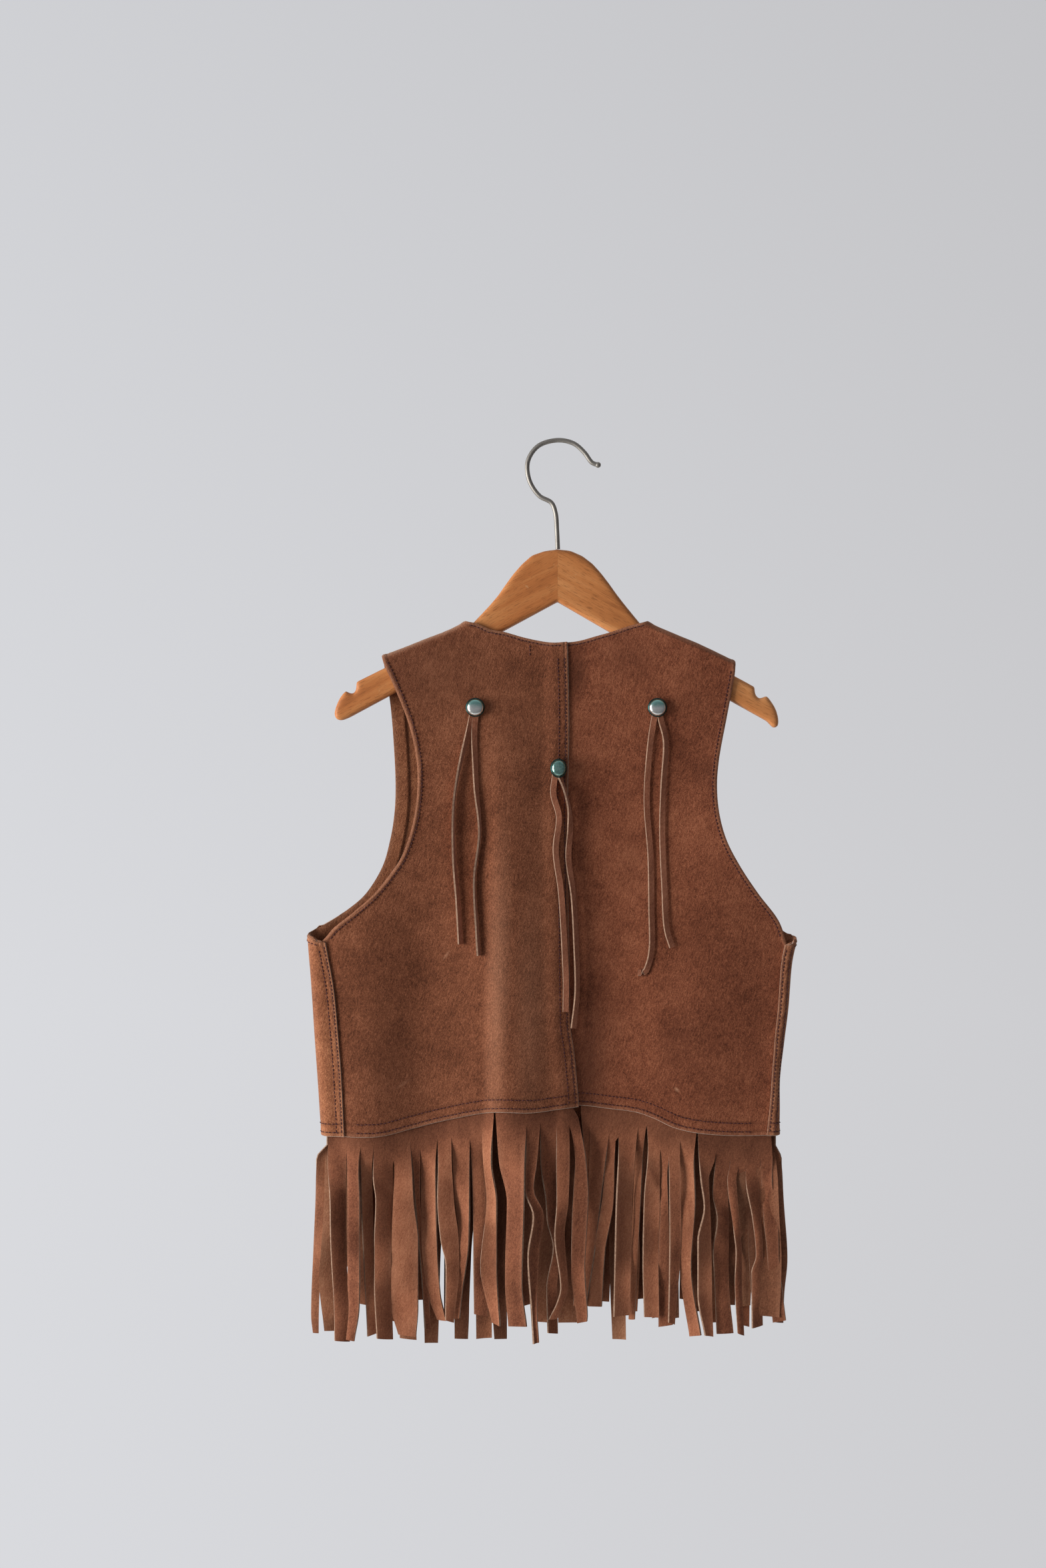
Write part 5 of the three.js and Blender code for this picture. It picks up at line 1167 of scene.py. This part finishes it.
LEFT_OUTER_STRANDS = [
    strand(0, 1, (-566.4, -181.4, -166.2), (-597.9, -179.3, -167.3), (-629.3, -178.8, -167.3),
           (-681.7, -176.2, -164.6), (-709, -175.6, -164.1)),
    strand(-1, -1, (-566.4, -165.7, -156.2), (-597.9, -165.2, -155.2), (-660.8, -165.2, -155.2),
           (-681.7, -164.1, -155.7), (-706.9, -166.2, -159.4)),
    strand(2, 1, (-576.9, -155.2, -146.3), (-650.3, -152.6, -144.7), (-704.3, -149.9, -143.1)),
    strand(0, 1, (-576.9, -145.2, -130), (-597.9, -143.1, -130), (-629.3, -144.2, -131.1),
           (-660.8, -144.2, -131.1), (-706.9, -142.1, -130)),
    strand(-1, -1, (-576.9, -128.5, -114.3), (-597.9, -129.5, -113.2), (-629.3, -130.6, -109.6),
           (-681.7, -131.1, -109.6), (-704.3, -125.3, -111.2)),
    strand(1, 1, (-566.4, -114.8, -108.5), (-597.9, -112.7, -108.5), (-666, -107, -101.7),
           (-700.6, -104.9, -100.1)),
    strand(0, -1, (-566.4, -108, -95.9), (-629.3, -107.5, -94.9), (-671.3, -102.8, -92.3),
           (-693.3, -94.9, -87.6)),
    strand(-1, 1, (-566.4, -94.4, -83.4), (-597.9, -94.9, -81.8), (-629.3, -92.3, -78.1),
           (-650.3, -88.1, -77.6), (-693.3, -88.6, -81.8)),
    strand(1, -1, (-566.4, -82.8, -69.2), (-597.9, -81.3, -69.2), (-629.3, -77.6, -69.7),
           (-671.3, -81.3, -75), (-691.7, -82.3, -77.1)),
    strand(2, 1, (-566.4, -68.2, -57.1), (-597.9, -67.1, -56.6), (-689.1, -66.1, -54.5)),
    strand(0, -1, (-566.4, -58.7, -51.9), (-597.9, -56.1, -47.7), (-650.3, -60.8, -47.7),
           (-694.9, -51.4, -45.1)),
]
LEFT_INNER_STRANDS = [
    strand(0, -1, (-566.4, -46.1, -25.7), (-597.9, -39.8, -26.2), (-660.8, -41.4, -27.8),
           (-694.9, -38.8, -24.1)),
    strand(-1, 1, (-566.4, -25.7, -16.3), (-587.4, -26.2, -18.9), (-608.3, -19.4, -11),
           (-639.8, -23.6, -14.7), (-681.7, -21, -16.3), (-708, -19.4, -14.7)),
    strand(2, 1, (-548, -13.6, -0.4), (-566.4, -13.6, 0.2), (-597.9, -9.4, 0), (-613.6, -8.4, 2.1),
           (-634.6, -3.7, 3.7), (-666, -8.9, -0.5), (-702.7, -7.9, 0)),
    strand(-1, 1, (-548, -1, 9.2), (-566.4, -1.3, 9.4), (-597.9, -1, 8.4), (-624.1, -2.6, 5.2),
           (-666, 2.1, 7.9), (-676.5, -0.5, 5.2), (-690.1, -7.3, -0.5)),
    strand(-1, -1, (-566.4, 13.6, 22.5), (-592.6, 12.1, 24.1), (-618.8, 11, 23.1), (-650.3, 10.5, 21.5),
           (-689.6, 14.7, 23.6), (-693.3, 15.2, 23.1)),
]
RIGHT_INNER_STRANDS = [
    strand(3, 1, (-566.4, 21.5, 27.3), (-592.6, 22.5, 27.3), (-639.8, 16.3, 21.5), (-682.8, 12.1, 19.4)),
    strand(1, -1, (-566.4, 25.2, 38.3), (-592.6, 24.1, 35.1), (-639.8, 21, 29.4), (-671.3, 17.8, 24.6),
           (-680.7, 16.3, 23.1)),
    strand(0, -1, (-545.4, 40.9, 46.1), (-597.9, 35.1, 44.6), (-639.8, 28.3, 37.7), (-682.8, 24.1, 35.1)),
    strand(-1, 1, (-550.7, 48.2, 62.4), (-597.9, 46.1, 59.2), (-689.6, 44, 57.1)),
    strand(2, -1, (-545.4, 63.4, 69.2), (-597.9, 60.3, 66.1), (-693.8, 56.6, 61.3)),
    strand(0, 1, (-555.9, 71.3, 80.7), (-597.9, 68.2, 80.7), (-650.3, 67.1, 79.7), (-690.7, 68.2, 80.2)),
    strand(1, -1, (-576.9, 82.8, 87), (-597.9, 81.3, 87.6), (-650.3, 79.7, 89.1), (-698, 79.7, 91.2)),
    strand(-1, 1, (-566.4, 87.6, 96.5), (-624.1, 88.1, 97.5), (-694.9, 87, 92.3)),
    strand(0, -1, (-566.4, 97, 107.5), (-597.9, 96.5, 108.5), (-650.3, 96.5, 105.4), (-705.3, 104.3, 113.2)),
]
RIGHT_OUTER_STRANDS = [
    strand(-1, 1, (-563.8, 111.2, 124.3), (-582.1, 112.7, 119), (-603.1, 115.3, 120.1),
           (-629.3, 110.1, 121.1), (-671.3, 110.1, 121.6), (-704.8, 115.9, 122.7)),
    strand(1, 1, (-569, 124.3, 135.8), (-592.6, 122.2, 134.7), (-613.6, 125.8, 135.3),
           (-639.8, 122.7, 135.3), (-660.8, 123.7, 135.3), (-703.8, 125.3, 138.9)),
    strand(-1, 1, (-571.6, 135.8, 142.6), (-582.1, 133.7, 141), (-624.1, 138.9, 144.2),
           (-639.8, 140.5, 145.2), (-660.8, 139.5, 145.2), (-703.8, 141.6, 146.8)),
    strand(2, 1, (-574.3, 142.6, 148.9), (-592.6, 142.1, 148.4), (-608.3, 143.7, 152), (-624.1, 142.1, 152),
           (-639.8, 142.6, 152.6), (-699, 144.7, 152)),
    strand(-1, 1, (-582.1, 148.4, 159.4), (-613.6, 153.6, 160.4), (-642.4, 156.2, 162),
           (-655.5, 152.6, 161), (-698.5, 153.1, 162)),
    strand(-1, -1, (-566.4, 160.4, 169.9), (-582.1, 161, 169.3), (-613.6, 162.5, 174.1),
           (-639.8, 165.2, 174.6), (-676.5, 167.3, 178.3), (-694.3, 169.9, 180.4)),
]
# The two outermost strands of each front show beside the back's
SIDE_STRANDS = {
    "left": [
        strand(1, -1, (-566.4, -190.8, -180.6), (-597.9, -191.6, -182.6), (-650.3, -193.8, -187),
               (-690.7, -195, -188.8), (-704.8, -193.5, -189)),
        strand(3, 1, (-560, -184, -163), (-597.9, -184.6, -163), (-639.8, -187.2, -165),
               (-660.8, -188.7, -168.2), (-702.8, -184.5, -175.6)),
    ],
    "right": [
        strand(1, 1, (-566.4, 168, 177.2), (-597.9, 171, 178.6), (-645, 176, 181.4), (-673.9, 173.5, 179.2),
               (-695.9, 171.5, 178.4)),
        strand(3, -1, (-560, 150, 172), (-613.6, 150, 175), (-645, 151, 176.6), (-690, 154, 175)),
    ],
}
# Middle and width of the fronts' strands whose tips show below the back's
LONG_TIPS = {
    "left": [(-118.3, 13.1), (-100.2, 10.5), (-76.5, 10.5), (-58.2, 12.6), (-45.3, 9.9), (-13.6, 10.5)],
    "right": [(49.0, 11.0)],
}

FRONT_STRANDS = 15
FRONT_START = -0.9  # radii of the side fold from its start, round towards the back
SLIT_DROP, SLIT_SPREAD = 9, 3
LONG_TIP_Z, TIP_Z, TIP_SPREAD, TIP_SHARE = -711.5, -688, 9, 0.84
LAST_SHIFT, LAST_SPARE = 4, 8  # the strand at the opening is wider and nearer the middle


def front_band(side):
    """Slits and strands of a front, evenly cut."""
    _, _, radius, forward = side_fold(side, FRONT_HEM_Z)
    start, end = FRONT_START * radius, across_front(side, FRONT_EDGE[side])[0, 0]
    count = FRONT_STRANDS
    slits = [(start + (end - start) * at / count, FRONT_HEM_Z - SLIT_DROP - SLIT_SPREAD * math.sin(at * 2.3))
             for at in range(count + 1)]
    pitch = (end - start) / count
    place, strands = PLACES[f"front_{side}"], list(SIDE_STRANDS[side])
    for at in range(len(strands), count):
        near, far = (float(place(slits[step][0], FRONT_HEM_Z, 0.0)[..., 0]) for step in (at, at + 1))
        root = (near + far) / 2
        width = abs(far - near) + draw.uniform(1.2, 2.4)
        if at == count - 1:
            root += forward * LAST_SHIFT
            width += LAST_SPARE
        tip_x, tip_z, tip_width = root, TIP_Z - TIP_SPREAD * math.sin(at * 1.9), TIP_SHARE * width
        for x, wide in LONG_TIPS[side]:
            if abs(x - root) < pitch / 2 and at < count - 1:
                tip_x, tip_z, tip_width = x, LONG_TIP_Z + draw.uniform(-2, 2), wide
        high_x, low_x = root + 1.1 * math.sin(at * 1.7), (root + tip_x) / 2 - 1.4 * math.sin(at * 2.9)
        middles = ((-560, root, width), (-592.6, high_x, width), (-645.0, low_x, width),
                   (tip_z, tip_x, tip_width))
        rows = [(z, middle - wide / 2, middle + wide / 2) for z, middle, wide in middles]
        strands.append(strand(at % 3, 1 if at % 2 else -1, *rows))
    return slits, strands


# Slits, strands, shifts of a strip's top at some slits, and its tone
bands = {
    "fringe_back_left_outer": (BACK_LEFT_OUTER_SLITS, LEFT_OUTER_STRANDS, {}, -0.2),
    "fringe_back_left_inner": (BACK_LEFT_INNER_SLITS, LEFT_INNER_STRANDS, {4: -6, 5: -10.4}, -0.7),
    "fringe_back_right_inner": (BACK_RIGHT_INNER_SLITS, RIGHT_INNER_STRANDS, {}, 0.1),
    "fringe_back_right_outer": (BACK_RIGHT_OUTER_SLITS, RIGHT_OUTER_STRANDS, {}, -0.4),
}
for side in SIDES:
    bands[f"fringe_front_{side}"] = (*front_band(side), {}, 0.0)


def front_hem_at(x):
    return np.full(np.shape(x), FRONT_HEM_Z)


for node, (slits, strands, shifts, tone_shift) in bands.items():
    face, side = node.split("_")[1:3]
    out, hem_at, nap = -1, BACK_HEM[side].z_at, fringe_suede
    if face == "front":
        out, hem_at, nap = 1, front_hem_at, front_fringe_suede
    piece = slit_band(f"suede_{node}", slits, strands, hem_at, PLACES[f"{face}_{side}"], [nap, strand_edge],
                      out, shifts, tone_shift)
    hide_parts(node)
    shells[node] = piece

# --- studs and thongs -----------------------------------------------------------------------------------

STUD_SEAT = 0.5
STUD_GAP = 0.9
STUD_SIDES = 72
STUD_PROFILE = [(0.4, 0), (7.2, 0), (7.5, 0.35), (7.45, 0.9), (7.0, 1.35), (6.55, 1.6), (6.45, 2.2),
                (6.0, 3.0), (5.3, 3.65), (4.4, 4.05), (3.2, 4.25), (1.8, 4.36), (0.5, 4.4)]
STUD_RIM_RINGS = 5
CENTRE_STUD_WIDTH = 0.86  # of its height, as it is turned a little
HEAD_RADIUS, HEAD_HOLE, HEAD_SIDES = 5.2, 0.3, 24
HEAD_PROFILE = [(HEAD_HOLE, -STRIP_WALL / 2), (HEAD_RADIUS, -STRIP_WALL / 2),
                (HEAD_RADIUS, STRIP_WALL / 2), (HEAD_HOLE, STRIP_WALL / 2)]
HEAD_AREA = 85
# Seat of the stud, panel below, and the two tails as rows of x, z and turn
THONGS = {
    "left": ((-64.9, -210), "back_left", [
        [(-66.6, -212, 0), (-68.2, -221, 0.2), (-70.6, -231, 0.6), (-74.8, -247, 1.0), (-78.6, -264, 1.3),
         (-81.8, -288, 1.4), (-81.6, -328, 1.2), (-78.6, -361, 0.9), (-76.5, -396, 0.8)],
        [(-63.6, -212, 0), (-65.2, -222, 0.1), (-65.6, -236, 0.4), (-65.0, -252, 0.6), (-64.0, -274, 0.8),
         (-61.3, -308, 1.3), (-65.5, -345, 1.4), (-63.5, -384, 1.2), (-62, -404.8, 1.1)]]),
    "right": ((78.3, -210.1), "back_right", [
        [(77.2, -212, 0), (75.4, -222, 0.0), (73, -238, 0.3), (70.2, -282, 0.1), (73.2, -327, 0.3),
         (73.8, -369, 0.4), (74, -400, 0.4), (71.6, -412, 0.4), (68.4, -418.4, 0.3), (63.4, -418.6, 0.2)],
        [(79.4, -212, 0.1), (81.6, -221, 0.3), (84.8, -236, 0.6), (83.3, -271, 0.4), (82.4, -306, 0.25),
         (84, -350, 0.3), (86, -385, 0.4), (90.2, -398.6, 0.3)]]),
    "centre": ((0.6, -257.8), "back_left", [
        [(-1.6, -260, 0), (-3.4, -278, 0.1), (1, -296, 0.1), (-1.6, -322, 0.3), (2.6, -355, 0.15),
         (5.4, -401, 0.3), (6.4, -425, 0.1), (6.2, -449, 0.1)],
        [(0.4, -261, 0.6), (4.4, -272, 1.2), (9.0, -290, 1.1), (9.8, -305, 0.5), (8.4, -328, 0.3),
         (12.2, -357, 0.6), (14.4, -395, 0.6), (15.2, -434, 0.7), (12.4, -462, 0.5)]]),
}


def thong(name, seat, face_y, place, tails):
    """A thong: its head under the stud and its two tails."""
    head_y = face_y - STUD_SEAT - STRIP_WALL / 2
    head, faces = lathe(HEAD_PROFILE, (seat[0], head_y, seat[1]), HEAD_SIDES)
    points, kinds = [head], [0] * len(faces)
    cut_length = 0.0
    for rows in tails:
        start = sum(len(part) for part in points)
        found, tail_faces, tail_kinds, length = ribbon(rows, place, head_y)
        points.append(found)
        faces += moved_faces(tail_faces, start)
        kinds += tail_kinds
        cut_length += length
    piece = make_object(f"suede_thong_{name}", np.concatenate(points), faces, [lit_thong_suede, strand_edge],
                        kinds, crease=THONG_CREASE)
    piece["flat_area"] = (cut_length * THONG_WIDTH + HEAD_AREA) / 1e6
    piece["cut_length"] = cut_length
    return piece


def stud(name, seat, face_y, face_metal):
    """A domed stud on its thong, with a rolled rim darkened by a painted reflection."""
    back_y = face_y - STUD_SEAT - STRIP_WALL - STUD_GAP
    points, faces = lathe(STUD_PROFILE, (seat[0], back_y, seat[1]), STUD_SIDES)
    rings = [index // STUD_SIDES for index in range(len(faces))]
    kinds = [0 if STUD_RIM_RINGS <= ring < len(STUD_PROFILE) - 1 else 1 for ring in rings]
    kinds[-1] = 0
    if name == "centre":
        points[:, 0] = seat[0] + CENTRE_STUD_WIDTH * (points[:, 0] - seat[0])
    return make_object(f"nickel_stud_{name}", points, faces, [face_metal, stud_rim_reflection], kinds,
                       crease=METAL_CREASE)


for name, (seat, panel, tails) in THONGS.items():
    face_y = float(PLACES[panel](*seat, WALL / 2)[..., 1])
    piece = thong(name, seat, face_y, PLACES[panel], tails)
    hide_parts(f"thong_{name}")
    shells[f"thong_{name}"] = piece
    piece = stud(name, seat, face_y, stud_green if name == "centre" else stud_face)
    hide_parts(f"stud_{name}")

# --- hanger ---------------------------------------------------------------------------------------------

GLUE_LINE = 0.00003  # metres from the middle to each half, as the next ones
END_REACH = 0.0004
SEAM_MERGE = 0.00002
VOXEL = 0.0011


def rounded_board():
    """Both halves of the solids joined at the middle, with soft edges."""
    board = bmesh.new()
    for side in SIDES:
        board.from_mesh(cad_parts[f"hanger_{side}"].data)
    for point in board.verts:
        if abs(point.co.x) < END_REACH:
            point.co.x = 0.0
    caps = [face for face in board.faces if all(abs(point.co.x) < 1e-6 for point in face.verts)]
    bmesh.ops.delete(board, geom=caps, context="FACES")
    bmesh.ops.remove_doubles(board, verts=board.verts, dist=SEAM_MERGE)
    mesh = bpy.data.meshes.new("beech_board")
    board.to_mesh(mesh)
    board.free()
    whole = in_scene("beech_board", mesh)
    remesh = whole.modifiers.new("remesh", "REMESH")
    remesh.mode = "VOXEL"
    remesh.voxel_size = VOXEL
    soften = whole.modifiers.new("soften", "SMOOTH")
    soften.factor = 0.5
    soften.iterations = 10
    graph = bpy.context.evaluated_depsgraph_get()
    rounded = bpy.data.meshes.new_from_object(whole.evaluated_get(graph))
    bpy.data.objects.remove(whole)
    return rounded


def hanger_half(side, board, material):
    """One side of the board, closed at the glue line."""
    way = -SIDES[side]
    half = bmesh.new()
    half.from_mesh(board)
    cut = bmesh.ops.bisect_plane(half, geom=[*half.verts, *half.edges, *half.faces], dist=MERGE,
                                 plane_co=(way * GLUE_LINE, 0, 0), plane_no=(-way, 0, 0), clear_outer=True)
    rim = [edge for edge in cut["geom_cut"] if isinstance(edge, bmesh.types.BMEdge)]
    bmesh.ops.holes_fill(half, edges=rim, sides=0)
    bmesh.ops.recalc_face_normals(half, faces=half.faces)
    mesh = bpy.data.meshes.new(f"beech_{side}")
    half.to_mesh(mesh)
    half.free()
    smooth(mesh, PANEL_CREASE)
    mesh.materials.clear()
    mesh.materials.append(material)
    return linked(f"beech_{side}", mesh)


board = rounded_board()
for side, material in (("left", wood_left), ("right", wood_right)):
    piece = hanger_half(side, board, material)
    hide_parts(f"hanger_{side}")

HOOK_LINE = [(0.2, -84.5), (-0.5, -69.4), (-1.6, -56), (-4.8, -47.9), (-14.4, -42.3), (-22.3, -30),
             (-23.4, -15), (-15.3, -3), (0, 1.6), (12.8, -1), (21.2, -8.1), (27.3, -16.1), (32, -17.9)]
HOOK_RADIUS, HOOK_STEPS, HOOK_SIDES = 1.85, 160, 20
BALL_RADIUS, BALL_STEPS, BALL_SIDES, BALL_POLE = 2.3, 17, 24, 0.06

line = along(dense(HOOK_LINE), np.linspace(0, 1, HOOK_STEPS))
path = np.stack([line[:, 0], np.zeros(HOOK_STEPS), line[:, 1]], axis=-1)
points, faces = tube(path, np.full(HOOK_STEPS, HOOK_RADIUS), HOOK_SIDES)
ball_x = HOOK_LINE[-1][0] + BALL_RADIUS * np.cos(np.linspace(math.pi, 0, BALL_STEPS))
ball_path = np.stack([ball_x, np.zeros(BALL_STEPS), np.full(BALL_STEPS, HOOK_LINE[-1][1])], axis=-1)
ball_radii = BALL_RADIUS * np.sin(np.linspace(BALL_POLE, math.pi - BALL_POLE, BALL_STEPS))
ball_points, ball_faces = tube(ball_path, ball_radii, BALL_SIDES)
faces += moved_faces(ball_faces, len(points))
hook = make_object("steel_hook", np.concatenate([points, ball_points]), faces, [steel],
                   crease=METAL_CREASE)
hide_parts("hook")

for node, (_, _, flat) in panels.items():
    piece = shells[node]
for node in bands:
    piece = shells[node]
    panel = "suede_" + "_".join(node.split("_")[1:3])
for name in THONGS:
    piece = shells[f"thong_{name}"]

# --- floor, light and camera ----------------------------------------------------------------------------

FLOOR_RADIUS, FLOOR_Z = 1.05, -1.3

floor_mesh = bpy.data.meshes.new("floor")
circle = bmesh.new()
bmesh.ops.create_circle(circle, cap_ends=True, radius=FLOOR_RADIUS, segments=96)
circle.to_mesh(floor_mesh)
circle.free()
floor = in_scene("floor", floor_mesh)
floor.location = (0, 0, FLOOR_Z)
floor_mesh.materials.append(plain_noise("floor_paint", srgb(214, 214, 214), srgb(226, 226, 226), 30, 0.05,
                                        Roughness=0.8))

world = bpy.data.worlds.new("studio")
bpy.context.scene.world = world
sky = Nodes(world, "BACKGROUND", "Generated")
split = sky.add("ShaderNodeSeparateXYZ")
sky.link(sky.place, split.inputs["Vector"])
across, deep, high = (split.outputs[axis] for axis in "XYZ")
wall = sky.mix(sky.share(across, -0.26, 0.24), srgb(218, 219, 223), srgb(205, 205, 208))
wall = sky.mix(sky.share(high, -0.1, 0.34), wall, sky.mix(1.0, wall, (0.9, 0.9, 0.9, 1.0), "MULTIPLY"))
room = sky.mix(sky.share(across, -1.0, 0.9), (0.42, 0.43, 0.46, 1.0), (0.17, 0.17, 0.18, 1.0))
room = sky.mix(sky.share(high, -0.6, 0.5), sky.mix(1.0, room, (0.62, 0.6, 0.58, 1.0), "MULTIPLY"), room)
room = sky.mix(sky.share(high, 0.5, 1.0), room, (0.55, 0.55, 0.57, 1.0))
sky.link(sky.mix(sky.share(deep, -0.02, 0.4), room, wall), sky.shader.inputs["Color"])
sky.shader.inputs["Strength"].default_value = 1.0

WINDOW_PLACE, WINDOW_TARGET = (-2.3, -0.88, -0.4), (0.0, 0.0, -0.38)
window_data = bpy.data.lights.new("window", "AREA")
window_data.shape = "RECTANGLE"
window_data.size, window_data.size_y = 1.5, 1.6
window_data.energy = 92.0
window_data.color = (1.0, 0.98, 0.95)
window = in_scene("window", window_data)
window.location = WINDOW_PLACE
window.rotation_euler = (Vector(WINDOW_TARGET) - Vector(WINDOW_PLACE)).to_track_quat("-Z", "Y").to_euler()

CAMERA_X, CAMERA_Z, CAMERA_REACH = -0.0273, -0.2702, 1.722
camera_data = bpy.data.cameras.new("camera")
camera_data.lens = 50
camera_data.sensor_width = 36
camera = in_scene("camera", camera_data)
camera.location = (CAMERA_X, -CAMERA_REACH, CAMERA_Z)
camera.rotation_euler = (math.pi / 2, 0, 0)
bpy.context.scene.camera = camera
bpy.context.scene.view_settings.view_transform = "Standard"
